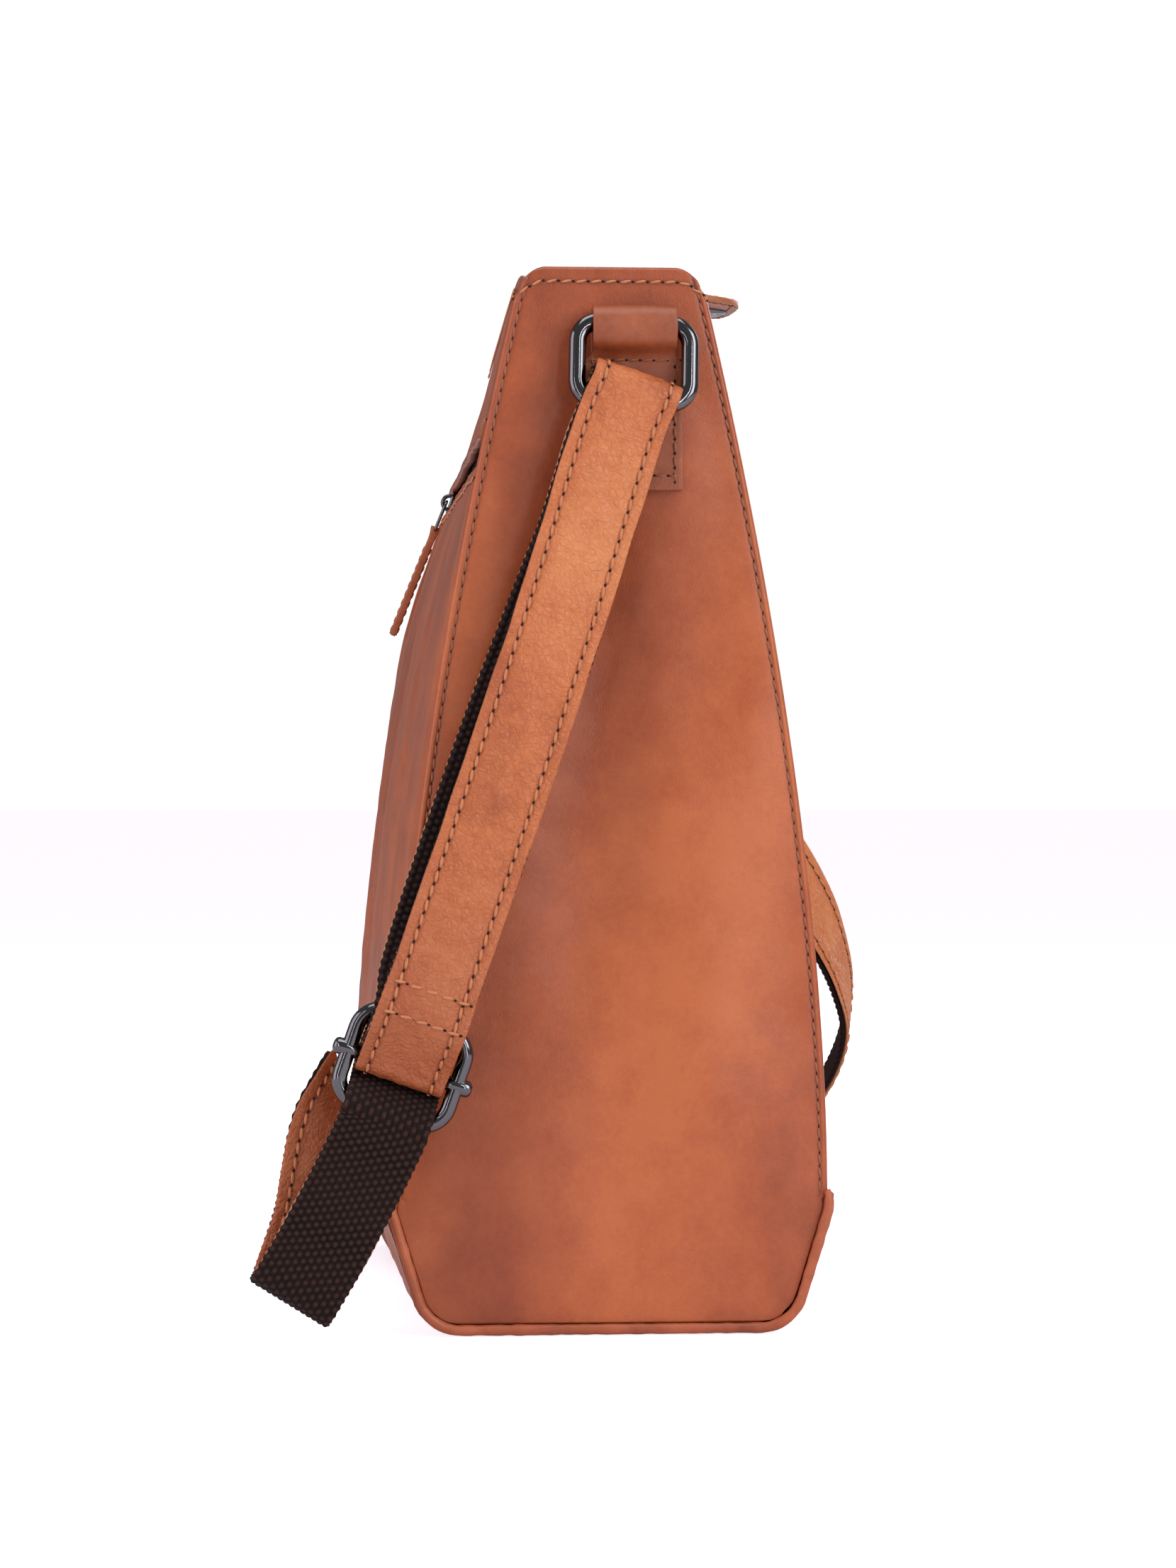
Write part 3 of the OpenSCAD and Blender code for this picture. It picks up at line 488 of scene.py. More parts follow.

# %% [markdown]
# ## Stitches
# A row of stitches repeats one short thread, so it is made with Geometry Nodes. A row is a
# line of points on the leather, each with the direction that points out of the leather. The
# tree walks along the line at the stitch length, lays a small slanted thread at each step and
# presses a dark blob between two threads as painted shade of the needle hole.


# %% The stitch tree
def stitch_tree():
    tree = bpy.data.node_groups.new("sewn_rows", "GeometryNodeTree")
    face = tree.interface
    face.new_socket("Rows", in_out="INPUT", socket_type="NodeSocketGeometry")
    for label, value in (("Stitch length", 0.0048), ("Thread length", 0.0034), ("Thread width", 0.0009),
            ("Slant", 0.2), ("Hole size", 0.0011)):
        face.new_socket(label, in_out="INPUT", socket_type="NodeSocketFloat").default_value = value
    face.new_socket("Thread", in_out="INPUT", socket_type="NodeSocketMaterial")
    face.new_socket("Hole", in_out="INPUT", socket_type="NodeSocketMaterial")
    face.new_socket("Stitches", in_out="OUTPUT", socket_type="NodeSocketGeometry")
    given = node(tree, "NodeGroupInput").outputs
    line = node(tree, "GeometryNodeMeshToCurve", {"Mesh": given["Rows"]})
    steps = node(tree, "GeometryNodeResampleCurve",
        {"Curve": line.outputs["Curve"], "Length": given["Stitch length"]}, mode="LENGTH")
    out = node(tree, "GeometryNodeInputNamedAttribute", {"Name": "out"}, data_type="FLOAT_VECTOR")
    along = node(tree, "GeometryNodeInputTangent")
    turn = node(tree, "FunctionNodeAxesToRotation",
        {"Primary Axis": out.outputs["Attribute"], "Secondary Axis": along.outputs["Tangent"]},
        primary_axis="Z", secondary_axis="X")
    half = node(tree, "ShaderNodeVectorMath",
        {0: along.outputs["Tangent"], "Scale": node(tree, "ShaderNodeMath",
            {0: given["Stitch length"], 1: 0.5}, operation="MULTIPLY").outputs[0]}, operation="SCALE")
    shifted = node(tree, "GeometryNodeSetPosition",
        {"Geometry": steps.outputs["Curve"], "Offset": half.outputs["Vector"]})
    ball = node(tree, "GeometryNodeMeshUVSphere", {"Segments": 8, "Rings": 6, "Radius": 0.5})
    smooth_ball = node(tree, "GeometryNodeSetShadeSmooth", {"Geometry": ball.outputs["Mesh"]})
    thick = node(tree, "ShaderNodeMath", {0: given["Thread width"], 1: 0.85},
        operation="MULTIPLY").outputs[0]
    size = node(tree, "ShaderNodeCombineXYZ",
        {"X": given["Thread length"], "Y": given["Thread width"], "Z": thick})
    slant = node(tree, "ShaderNodeCombineXYZ", {"Z": given["Slant"]})
    lift = node(tree, "ShaderNodeCombineXYZ",
        {"Z": node(tree, "ShaderNodeMath", {0: given["Thread width"], 1: 0.22},
            operation="MULTIPLY").outputs[0]})
    thread = node(tree, "GeometryNodeTransform",
        {"Geometry": smooth_ball.outputs["Geometry"], "Scale": size.outputs["Vector"],
            "Rotation": slant.outputs["Vector"], "Translation": lift.outputs["Vector"]})
    wide = node(tree, "ShaderNodeMath", {0: given["Hole size"], 1: 0.8}, operation="MULTIPLY").outputs[0]
    deep = node(tree, "ShaderNodeMath", {0: given["Hole size"], 1: 0.35}, operation="MULTIPLY").outputs[0]
    hole_size = node(tree, "ShaderNodeCombineXYZ", {"X": given["Hole size"], "Y": wide, "Z": deep})
    hole = node(tree, "GeometryNodeTransform",
        {"Geometry": smooth_ball.outputs["Geometry"], "Scale": hole_size.outputs["Vector"]})
    threads = node(tree, "GeometryNodeInstanceOnPoints",
        {"Points": steps.outputs["Curve"], "Instance": thread.outputs["Geometry"],
            "Rotation": turn.outputs["Rotation"]})
    holes = node(tree, "GeometryNodeInstanceOnPoints",
        {"Points": shifted.outputs["Geometry"], "Instance": hole.outputs["Geometry"],
            "Rotation": turn.outputs["Rotation"]})
    both = node(tree, "GeometryNodeJoinGeometry")
    for laid, finish in ((threads, given["Thread"]), (holes, given["Hole"])):
        real = node(tree, "GeometryNodeRealizeInstances", {"Geometry": laid.outputs["Instances"]})
        shown = node(tree, "GeometryNodeSetMaterial",
            {"Geometry": real.outputs["Geometry"], "Material": finish})
        tree.links.new(shown.outputs["Geometry"], both.inputs[0])
    node(tree, "NodeGroupOutput", {0: both.outputs[0]})
    return tree


SEWN_ROWS = stitch_tree()


def evaluated(made, tree, settings):
    """Runs a node tree on an object and keeps the result as a plain mesh."""
    run = made.modifiers.new("tree", "NODES")
    run.node_group = tree
    sockets = {s.name: s.identifier for s in tree.interface.items_tree if s.in_out == "INPUT"}
    for label, value in settings.items():
        run[sockets[label]] = value
    view = bpy.context.evaluated_depsgraph_get()
    mesh = bpy.data.meshes.new_from_object(made.evaluated_get(view))
    made.modifiers.clear()
    made.data = mesh
    mesh.name = made.name
    return made


def stitches(name, rows, body, slot_name, length=4.8, thread=3.4, width=0.9, slant=0.2, hole=1.1,
        finish=None):
    """Sews rows, a list of (points, outward directions) in mm, as one piece."""
    points, edges, outward = [], [], []
    for line, out in rows:
        line = np.asarray(line, float)
        first = len(points)
        points += (line * MM).tolist()
        outward += np.broadcast_to(unit(np.asarray(out, float)), line.shape).tolist()
        edges += [(first + i, first + i + 1) for i in range(len(line) - 1)]
    mesh = bpy.data.meshes.new(name)
    mesh.from_pydata(points, edges, [])
    mesh.attributes.new("out", "FLOAT_VECTOR", "POINT").data.foreach_set("vector",
        np.asarray(outward, np.float32).ravel())
    made = placed(name, mesh)
    evaluated(made, SEWN_ROWS, {"Stitch length": length * MM, "Thread length": thread * MM,
        "Thread width": width * MM, "Slant": slant, "Hole size": hole * MM, "Thread": finish or THREAD,
        "Hole": HOLE_SHADE})
    if isinstance(body, str):
        on_body(made, body, slot_name)
    return made

# %% [markdown]
# ## The gussets
# Each end of the bag is one flat piece of hide, sewn to the side panels along both edges. Its
# top is folded over as a hem and its corners are rounded off a little. The leather sags into
# a shallow valley where it folds when the bag is empty. Its edge stands up as a thin welt
# outside the seam, then turns round the corner.


# %% Gussets
RIM_STITCH = 3.8
SEAM_IN = 2.6


def rim_drop(share):
    """How far the rim dips towards a corner, where share is 1."""
    return 5.2 * np.clip((np.abs(share) - 0.72) / 0.28, 0, 1) ** 2


def gusset_relief(side, y, z, edge):
    """How far the gusset's face stands out, in mm, with edge the distance in from its side."""
    window = smooth(edge / 14) * smooth((z - 6) / 26) * smooth((334 - z) / 22)
    valley = (-2.6 * np.exp(-(((y + 4 - (z - 200) * 0.05) / 17) ** 2))
        * smooth((z - 70) / 70) * smooth((300 - z) / 60))
    belly = (2.2 * np.exp(-(((y - 30) / 26) ** 2) - ((z - 95) / 75) ** 2)
        + 1.3 * np.exp(-(((y + 30) / 30) ** 2) - ((z - 60) / 40) ** 2))
    loose = 0.7 * ripple(y, z * 0.6, 34, 11 + side) + 0.22 * ripple(y * 0.8, z, 13, 21 + side)
    return window * (valley + belly + loose)


def edge_relief(edge):
    """The welt along a sewn side: round the corner, up, down at the seam, level inside."""
    at = [0, 0.35, 0.9, 1.6, 2.0, SEAM_IN, 3.3, 4.2, 200]
    return np.interp(edge, at, [-1.5, -0.45, 0.1, 0.22, 0.1, -0.32, -0.05, 0, 0])


def gusset(side, end):
    here = HALF_W * side
    edge_z = BOOT_H + 2
    levels = sampled((3.7, 6, 5), (6, edge_z, 26), (edge_z, 332, 150), (332, BODY_H, 18))
    fine = np.array([0, 0.35, 0.9, 1.6, 2.0, SEAM_IN, 3.3, 4.2, 5.5, 7])
    inner = np.linspace(-1, 1, 92)
    rings, shades = [], []

    def width(z):
        z = np.asarray(z, float)
        low = np.interp(z, [p[1] for p in boot_edge(3.7)[::-1]], [p[0] for p in boot_edge(3.7)[::-1]])
        return np.where(z < BOOT_H, low, half_depth(here, z))

    columns = [(-1, e) for e in fine] + [(t, None) for t in inner[1:-1]] + [(1, e) for e in fine[::-1]]
    for where, e in columns:
        half = width(levels)
        y = where * (half - e) if e is not None else where * (half - fine[-1])
        edge = half - np.abs(y)
        out = edge_relief(edge) * smooth((levels - 40) / 12) + gusset_relief(side, y, levels, edge)
        z = levels - rim_drop(y / half) * smooth((levels - 329) / 11)
        hem = 0.5 * smooth((z - (BODY_H - 11)) / 5)
        outer = np.stack([out + hem * 0.4, y, z], 1)
        top = outer[-1]
        roll = [top + (-0.5, 0, 0.75), top + (-1.3, 0, 1.0), top + (-2.1, 0, 0.7)]
        thick = LEATHER_T + 0.6 * smooth((levels[::-1] - 328) / 3)
        back = outer[::-1] - np.stack([thick, 0 * y, 0 * y], 1)
        ring = np.vstack([outer, roll, back])
        ring[:, 0] = side * (HALF_W + ring[:, 0])
        rings.append(ring)
        # Painted shade for the shade attribute: darker lines in the seam and rim stitch grooves, a broad painted
        # shadow low on the pocket-side half under the strap, and a band of painted shade down the middle.
        groove = 0.55 * np.exp(-(((edge - SEAM_IN) / 0.7) ** 2)) * (levels > 44)
        rim = 0.4 * np.exp(-(((BODY_H - RIM_STITCH - levels) / 0.9) ** 2))
        painted_shade = (0.42 * np.exp(-(((y + 42) / 22) ** 2)) * smooth((170 - levels) / 90)
            + 0.24 * np.exp(-(((y - 5) / 17) ** 2) - ((levels - 205) / 62) ** 2))
        shades.append(np.concatenate([np.clip(groove + rim + painted_shade, 0, 0.8), [0, 0, 0],
            np.zeros(len(levels))]))
    strips = [0] * (len(levels) + 3) + [1] * len(levels)
    made = swept("gusset_leather_" + end, rings, [BODY_LEATHER, FLESH_SIDE], strips, shades)
    on_body(made, "bag", "bag_leather", "gusset_" + end)

    rows = []
    for edge_side in (-1, 1):
        z = np.arange(BOOT_H + 3, BODY_H - 6, 2.0)
        y = edge_side * (half_depth(here, z) - SEAM_IN)
        z_at = z - rim_drop(y / half_depth(here, z)) * smooth((z - 329) / 11)
        rows.append((np.stack([np.full(len(z), side * (HALF_W - 0.28)), y, z_at], 1), (side, 0, 0)))
    y = np.linspace(-half_depth(here, BODY_H) + 1, half_depth(here, BODY_H) - 1, 30)
    z = BODY_H - RIM_STITCH - rim_drop(y / half_depth(here, BODY_H)) * 0.72
    rim = [(np.stack([np.full(30, side * (HALF_W + 0.25)), y, z], 1), (side, 0, 0))]
    stitches("seam_stitches_" + end, rows, "bag", "trim_leather", length=4.2, thread=3.5, width=0.95,
        slant=0.14, hole=1.0, finish=SHADED_THREAD)
    stitches("rim_stitches_" + end, rim, "bag", "trim_leather", length=4.6, thread=3.7, width=0.95,
        slant=0.2)


for side, end in ((1, "right"), (-1, "left")):
    gusset(side, end)

# %% [markdown]
# ## The side panels
# The pocket side is two pieces with the zip between them, each folded back at the zip as a
# lip. The upper lip lies proud over the zip. The plain side is one piece. The panels swell a
# little, and soft upright folds run down them, because the hide hangs between two seams.


# %% Side panels
PANEL_HALF = 148.2
PANEL_FOOT = 32.0
LIP_Z = {"upper": ZIP_Z + ZIP_SLOT / 2, "lower": ZIP_Z - ZIP_SLOT / 2}
LIP_ROW = {"upper": 5.6, "lower": 3.0}
LOWER_SWELL, LOWER_SEED = 4.5, 60


def panel_relief(x, z, seed):
    window = smooth((PANEL_HALF - np.abs(x)) / 10) * smooth((z - 46) / 30) * smooth((330 - z) / 20)
    upright = 0.9 * ripple(x, z * 0.16, 15, seed) + 0.8 * ripple(x, z * 0.5, 48, seed + 1)
    return window * (upright * (0.35 + 0.65 * smooth((280 - z) / 120)) + 0.15 * ripple(x, z, 9, seed + 2))


def rim_line(x):
    """The rim sags a little between the ends and dips at the corners."""
    return (BODY_H - 5.8 * np.exp(-(PANEL_HALF - np.abs(x)) / 8.0)
        + 0.5 * ripple(x, 0 * x, 60, 5) * smooth((148 - np.abs(x)) / 30))


def panel(name, node_name, side, low, high, amount, seed, lip=None, rim=False):
    xs = sampled((-PANEL_HALF, -140, 12), (-140, 140, 150), (140, PANEL_HALF, 12))
    zs = sampled((low, low + 8, 8), (low + 8, high - 8, 120 if high - low > 100 else 34),
        (high - 8, high, 14))
    rings, shades = [], []
    for x in xs:
        z = zs.copy()
        out = half_depth(x, z) + swell(x, z, amount) + panel_relief(x, z, seed)
        curl = 0.35 * np.exp(-(PANEL_HALF - abs(x)) / 1.2)
        out = out - curl
        thick = np.full(len(z), LEATHER_T)
        # shade holds painted shade: darker lines in the stitch grooves and at the upper lip's lower edge.
        shade = np.zeros(len(z))
        if lip == "upper":
            from_lip = z - low
            out = (out + 1.7 * np.exp(-((from_lip / 5.0) ** 2))
                - 0.35 * np.exp(-(((from_lip - LIP_ROW[lip]) / 0.9) ** 2)))
            thick = thick + 1.2 * smooth((9 - from_lip) / 3)
            shade = (0.5 * np.exp(-(((from_lip - LIP_ROW[lip]) / 0.8) ** 2))
                + 0.5 * smooth((1.2 - from_lip) / 1.2))
        if lip == "lower":
            from_lip = high - z
            out = (out + 0.5 * np.exp(-((from_lip / 2.5) ** 2))
                - 0.3 * np.exp(-(((from_lip - LIP_ROW[lip]) / 0.8) ** 2)))
            thick = thick + 0.9 * smooth((7 - from_lip) / 3)
            shade = 0.5 * np.exp(-(((from_lip - LIP_ROW[lip]) / 0.7) ** 2))
        if rim:
            z = z + (rim_line(x) - BODY_H) * smooth((z - 318) / 22)
            out = out - 0.25 * np.exp(-(((rim_line(x) - RIM_STITCH - z) / 0.8) ** 2))
            thick = thick + 0.7 * smooth((z - 328) / 3)
            shade = shade + 0.5 * np.exp(-(((rim_line(x) - RIM_STITCH - z) / 0.8) ** 2))
        outer = np.stack([np.full(len(z), x), side * out, z], 1)
        inner = np.stack([np.full(len(z), x), side * (out - thick), z], 1)[::-1]
        t = thick[-1]
        top = [outer[-1] + (0, -side * t * 0.25, 0.8), outer[-1] + (0, -side * t * 0.75, 0.8)]
        t = thick[0]
        foot = [outer[0] + (0, -side * t * 0.75, -0.8), outer[0] + (0, -side * t * 0.25, -0.8)]
        rings.append(np.vstack([outer, top, inner, foot]))
        shades.append(np.concatenate([np.clip(shade, 0, 0.8), [0, 0], np.zeros(len(z)), [0, 0]]))
    strips = [0] * (len(zs) + 2) + [1] * (len(zs) - 1) + [0] * 3
    made = swept(name, rings, [BODY_LEATHER, FLESH_SIDE], strips, shades)
    return on_body(made, "bag", "bag_leather", node_name)


panel("plain_side_leather", "plain_panel", 1, PANEL_FOOT, BODY_H, 3.0, 40, rim=True)
panel("pocket_side_upper", "pocket_upper_panel", -1, LIP_Z["upper"], BODY_H, 0, 50, lip="upper", rim=True)
panel("pocket_side_lower", "pocket_lower_panel", -1, PANEL_FOOT, LIP_Z["lower"], LOWER_SWELL, LOWER_SEED,
    lip="lower")

xs = np.linspace(-146.5, 146.5, 110)
rows = []
for side in (-1, 1):
    z = rim_line(xs) - RIM_STITCH
    rows.append((np.stack([xs, side * (half_depth(xs, z) + 0.1), z], 1), (0, side, 0.2)))
z = np.full(110, LIP_Z["upper"] + LIP_ROW["upper"])
rows.append((np.stack([xs, -(half_depth(xs, z) + 0.1), z], 1), (0, -1, 0.2)))
z = np.full(110, LIP_Z["lower"] - LIP_ROW["lower"])
out = half_depth(xs, z) + swell(xs, z, LOWER_SWELL) + panel_relief(xs, z, LOWER_SEED) + 0.1
rows.append((np.stack([xs, -out, z], 1), (0, -1, 0.2)))
stitches("panel_stitches", rows, "bag", "trim_leather", length=4.8, thread=3.7, width=0.9)

# %% [markdown]
# ## The boot and its piping
# One band of hide runs up one side, under the floor and up the other, and takes the wear. Its
# top edges are turned in and stitched. Where it meets a gusset, a thin cord covered in
# leather, the piping, is sewn into the seam. Both are sweeps along the bag's outline.


# %% Boot and piping
def outline_path(inset, step):
    """The boot's outline from its top edge on one side, under the floor, to the other."""
    edge = np.array(boot_edge(inset))
    line = np.vstack([edge, (edge * (-1, 1))[::-1]])
    line = np.hstack([np.zeros((len(line), 1)), line])
    return evenly(line, step)


path = outline_path(0, 3.0)
turn = unit(np.gradient(path, axis=0))
away = np.stack([0 * turn[:, 0], turn[:, 2] * -1, turn[:, 1]], 1)
away = away * np.sign(np.sum(away * (path - (0, 0, 60)), 1, keepdims=True))
run = np.linspace(0, 1, len(path))
from_top = np.minimum(run, 1 - run) * 3.0 * len(path)
rings = []
for x in sampled((-146.6, -140, 6), (-140, 140, 90), (140, 146.6, 6)):
    puff = (0.5 * ripple(x + 0 * run, run * 400, 26, 71)
        * smooth(from_top / 14) * smooth((path[:, 2] - 3) / 12))
    lip = 0.4 * np.exp(-((from_top / 3) ** 2)) - 0.3 * np.exp(-(((from_top - 4.2) / 0.9) ** 2))
    outer = path + away * (puff + lip)[:, None] + (x, 0, 0)
    inner = (path - away * 1.9 + (x, 0, 0))[::-1]
    cap = [outer[-1] + (0, 0.5, 0.7), inner[0] + (0, -0.3, 0.7)]
    cap2 = [inner[-1] + (0, 0.3, 0.7), outer[0] + (0, -0.5, 0.7)]
    rings.append(np.vstack([outer, cap, inner, cap2]))
strips = [0] * (len(path) + 2) + [1] * (len(path) - 1) + [0] * 3
on_body(swept("boot_leather", rings, [BODY_LEATHER, FLESH_SIDE], strips), "bag", "bag_leather", "base_boot")

xs = np.linspace(-145, 145, 60)
rows = [(np.stack([xs, np.full(60, s * (BASE_HALF + LEATHER_T - 0.05)), np.full(60, BOOT_H - 3.2)], 1),
    (0, s, 0)) for s in (-1, 1)]
stitches("boot_stitches", rows, "bag", "trim_leather")

for side, end in ((1, "right"), (-1, "left")):
    path = outline_path(LEATHER_T - 0.1, 1.6)
    path = np.vstack([path[0] + (0, -0.6, 1.8), path, path[-1] + (0, 0.6, 1.8)])
    path = path + (side * (HALF_W - 0.3 + PIPING_R), 0, 0)
    run = np.linspace(0, 1, len(path))
    swell_here = 1 + 0.07 * ripple(run * 420, 0 * run, 7, 80 + side)
    ends = np.clip(np.minimum(np.arange(len(path)), np.arange(len(path))[::-1]) / 2.0, 0.35, 1) ** 0.5
    ring = circle(PIPING_R, 14)[None] * (swell_here * ends)[:, None, None]
    rings = follow(path, np.tile([1.0, 0, 0], (len(path), 1)), ring)
    on_body(swept("piping_leather_" + end, rings, [PIPING_LEATHER]), "bag", "trim_leather", "piping_" + end)

# %% [markdown]
# ## Rings and their tabs
# A tab is one strip of hide: sewn flat to the gusset, led up and round the ring's top bar, and
# brought down again behind. The ring is cast wire, slightly flattened, and the strap behind it
# pushes it out at the bottom.

# %% Tabs and rings
TAB_Y, TAB_T, RING_WIRE, RING_W, RING_H = 7.0, 1.8, 5.6, 41.6, 32.0
RING_Z = BODY_H - 17.4
LOOP_BORE = RING_WIRE / 2 + 1.0
LOOP_X = TAB_T + LOOP_BORE
PATCH_TOP = RING_Z - LOOP_BORE - TAB_T - 5.5
PATCH_H, PATCH_W, LOOP_W = 42.0, 32.0, 27.0
RING_REACH, RING_KICK, RING_TURN = RING_H - RING_WIRE, 5.1, 2.0
RING_TILT = math.asin(RING_KICK / RING_REACH)
BAR_X = LOOP_X + RING_KICK
BAR_Z = RING_Z - RING_REACH * math.cos(RING_TILT)


def on_gusset(points, side):
    """Points given as (out from the gusset, across, height) put on either gusset."""
    p = np.asarray(points, float)
    return np.stack([side * (HALF_W + p[..., 0]), TAB_Y + side * p[..., 1], p[..., 2]], -1)


def tab(side, end):
    middle = LOOP_BORE + TAB_T / 2
    turn = np.radians(np.linspace(0, 180, 9))
    front = [(2.7, PATCH_TOP - PATCH_H), (2.7, PATCH_TOP - 20), (2.7, PATCH_TOP - 4),
        (2.8, PATCH_TOP - 0.5), (4.4, PATCH_TOP + 2.4), (8.4, PATCH_TOP + 5.0), (LOOP_X + middle * 0.97, RING_Z - 2.4)]
    loop = [(LOOP_X + middle * math.cos(a), RING_Z + middle * math.sin(a)) for a in turn]
    back = [(0.9, PATCH_TOP), (0.9, PATCH_TOP - PATCH_H)]
    line = spline([(x, 0, z) for x, z in front + loop + back], 0.7)
    front_side = np.cumsum(np.linalg.norm(np.gradient(line, axis=0), axis=1)) < PATCH_H + 25
    ease = smooth((line[:, 2] - PATCH_TOP + 1.5) / 3.0)
    wide = np.where(front_side | (line[:, 2] > PATCH_TOP - 2), PATCH_W + (LOOP_W - PATCH_W) * ease, PATCH_W)
    rings = []
    run = np.cumsum(np.linalg.norm(np.gradient(line, axis=0), axis=1))
    for k, w in enumerate(wide):
        cross = finer(box_outline(w, -TAB_T / 2, TAB_T / 2, 0.6, 4), 28)
        top = cross[:, 1] > 0
        here = run[k] + 0 * cross[:, 0]
        puff = 0.1 * ripple(cross[:, 0], here, 8, 91) + 0.05 * ripple(cross[:, 0], here, 3, 92)
        cross[:, 1] += np.where(top, puff, 0)
        rings.append(cross)
    sides = np.tile([0, 1.0, 0], (len(line), 1))
    made = follow(line, sides, np.array(rings))
    tab_piece = swept("ring_tab_leather_" + end, on_gusset(made, side), [TAB_LEATHER])
    on_body(tab_piece, "bag", "trim_leather", "ring_tab_" + end)
    half, foot, head = PATCH_W / 2 - 2.8, PATCH_TOP - PATCH_H + 4.6, PATCH_TOP - 0.6
    corners = [(-half, head), (half, head), (half, foot), (-half, foot), (-half, head)]
    rows = []
    for (y0, z0), (y1, z1) in zip(corners, corners[1:]):
        t = np.linspace(0, 1, 14)[:, None]
        flat = np.array([[3.62, y0, z0]]) * (1 - t) + np.array([[3.62, y1, z1]]) * t
        rows.append((on_gusset(flat, side), (side, 0, 0)))
    stitches("tab_stitches_" + end, rows, "bag", "trim_leather", length=4.2, thread=3.1, width=0.85,
        slant=0.12, hole=1.2, finish=SHADED_THREAD)


def wire_loop(name, width, height, wire, corner, square=2.0, place=lambda p: p, finish=None, count=18):
    """A closed loop of wire in the YZ plane, centred on the origin, then put in place."""
    y, z = width / 2 - wire / 2 - corner, height / 2 - wire / 2 - corner
    path = []
    for k, (sy, sz) in enumerate(((1, 1), (-1, 1), (-1, -1), (1, -1))):
        for a in np.radians(np.linspace(90 * k, 90 * k + 90, 12)):
            path.append((0, sy * y + corner * math.cos(a), sz * z + corner * math.sin(a)))
    path = np.array(path)
    ahead = unit(np.roll(path, -1, 0) - np.roll(path, 1, 0))
    out = np.cross(ahead, [1.0, 0, 0])
    ring = circle(wire / 2, count, square)
    rings = path[:, None] + out[:, None] * ring[None, :, :1] + np.array([1.0, 0, 0]) * ring[None, :, 1:]
    return swept(name, place(rings), [finish or GUNMETAL], closed=True)


def turned(points, axis, degrees):
    matrix = np.array(Matrix.Rotation(math.radians(degrees), 3, axis))
    return points @ matrix.T


def ring_place(side):
    def place(points):
        p = points - (0, 0, RING_REACH / 2)
        p = turned(turned(p, "Y", -math.degrees(RING_TILT)), "X", -RING_TURN)
        p = p + (LOOP_X, 0, RING_Z)
        return on_gusset(p, side)
    return place


for side, end, body in ((1, "right", "strap_open_end"), (-1, "left", "strap_far_end")):
    tab(side, end)
    ring = wire_loop("ring_metal_" + end, RING_W, RING_H, RING_WIRE, 7.0, 2.5, ring_place(side), count=24)
    on_body(ring, body, "gunmetal", "ring_" + end)

# %% [markdown]
# ## The strap's way
# The strap is one length of webbing faced with leather. From a sewn tail it turns round the
# slide's bar, rises to the ring, comes down behind, passes through the slide, hangs in a fold
# and lies along the floor to the far end, where it rises to the other ring. The places below
# are those of the CAD source; each gives a point and the direction of the strap's width.

# %% The route
STRAP_W, STRAP_LEATHER, STRAP_WEB, LEAN = 29.0, 1.5, 1.6, math.radians(19.4)
SLIDE_Z, SLIDE_X, SLIDE_W, SLIDE_H, SLIDE_WIRE, SLIDE_BAR = 86.4, 11.5, 41.0, 36.0, 5.0, 4.2
SLIDE_S = (BAR_Z - SLIDE_Z) / math.cos(LEAN)
WRAP = STRAP_WEB + 0.4
RING_WRAP, BAR_WRAP = RING_WIRE / 2 + WRAP, SLIDE_BAR / 2 + WRAP - 0.1
OVER_BAR = SLIDE_WIRE / 2 + WRAP - 0.1
RING_LIFT, RING_SHIFT = 3.4, -1.8
REACH = SLIDE_H / 2 - SLIDE_WIRE / 2
TOP_S, LOW_S = SLIDE_S - REACH, SLIDE_S + REACH
BOOT_HALF = BASE_HALF + LEATHER_T
SIDE_Y, FAR_Y = -BOOT_HALF - 12, BOOT_HALF
FLAT_Z, EDGE_Z = STRAP_WEB + 0.8, STRAP_W / 2 + 1.2


def limb(s, x, shift=0.0):
    """A place on the doubled strap: s down from the ring, x out from the gusset."""
    c, d = math.cos(LEAN), math.sin(LEAN)
    return (HALF_W + x, TAB_Y - s * d + shift * c, BAR_Z - s * c - shift * d, 0, c, -d)


def dipped(x, y, z, dip):
    a = math.radians(dip)
    return (x, y, z, 0, math.cos(a), -math.sin(a))


def turn_round(radius, centre_s, centre_x, degrees, shift=0.0):
    a = math.radians(degrees)
    return limb(centre_s - radius * math.sin(a), centre_x + radius * math.cos(a), shift)


def far_limb(s, x, shift=0.0):
    c, d = math.cos(math.radians(20)), math.sin(math.radians(20))
    return (-HALF_W - x, TAB_Y + s * d - shift * c, BAR_Z - s * c - shift * d, 0, c, d)


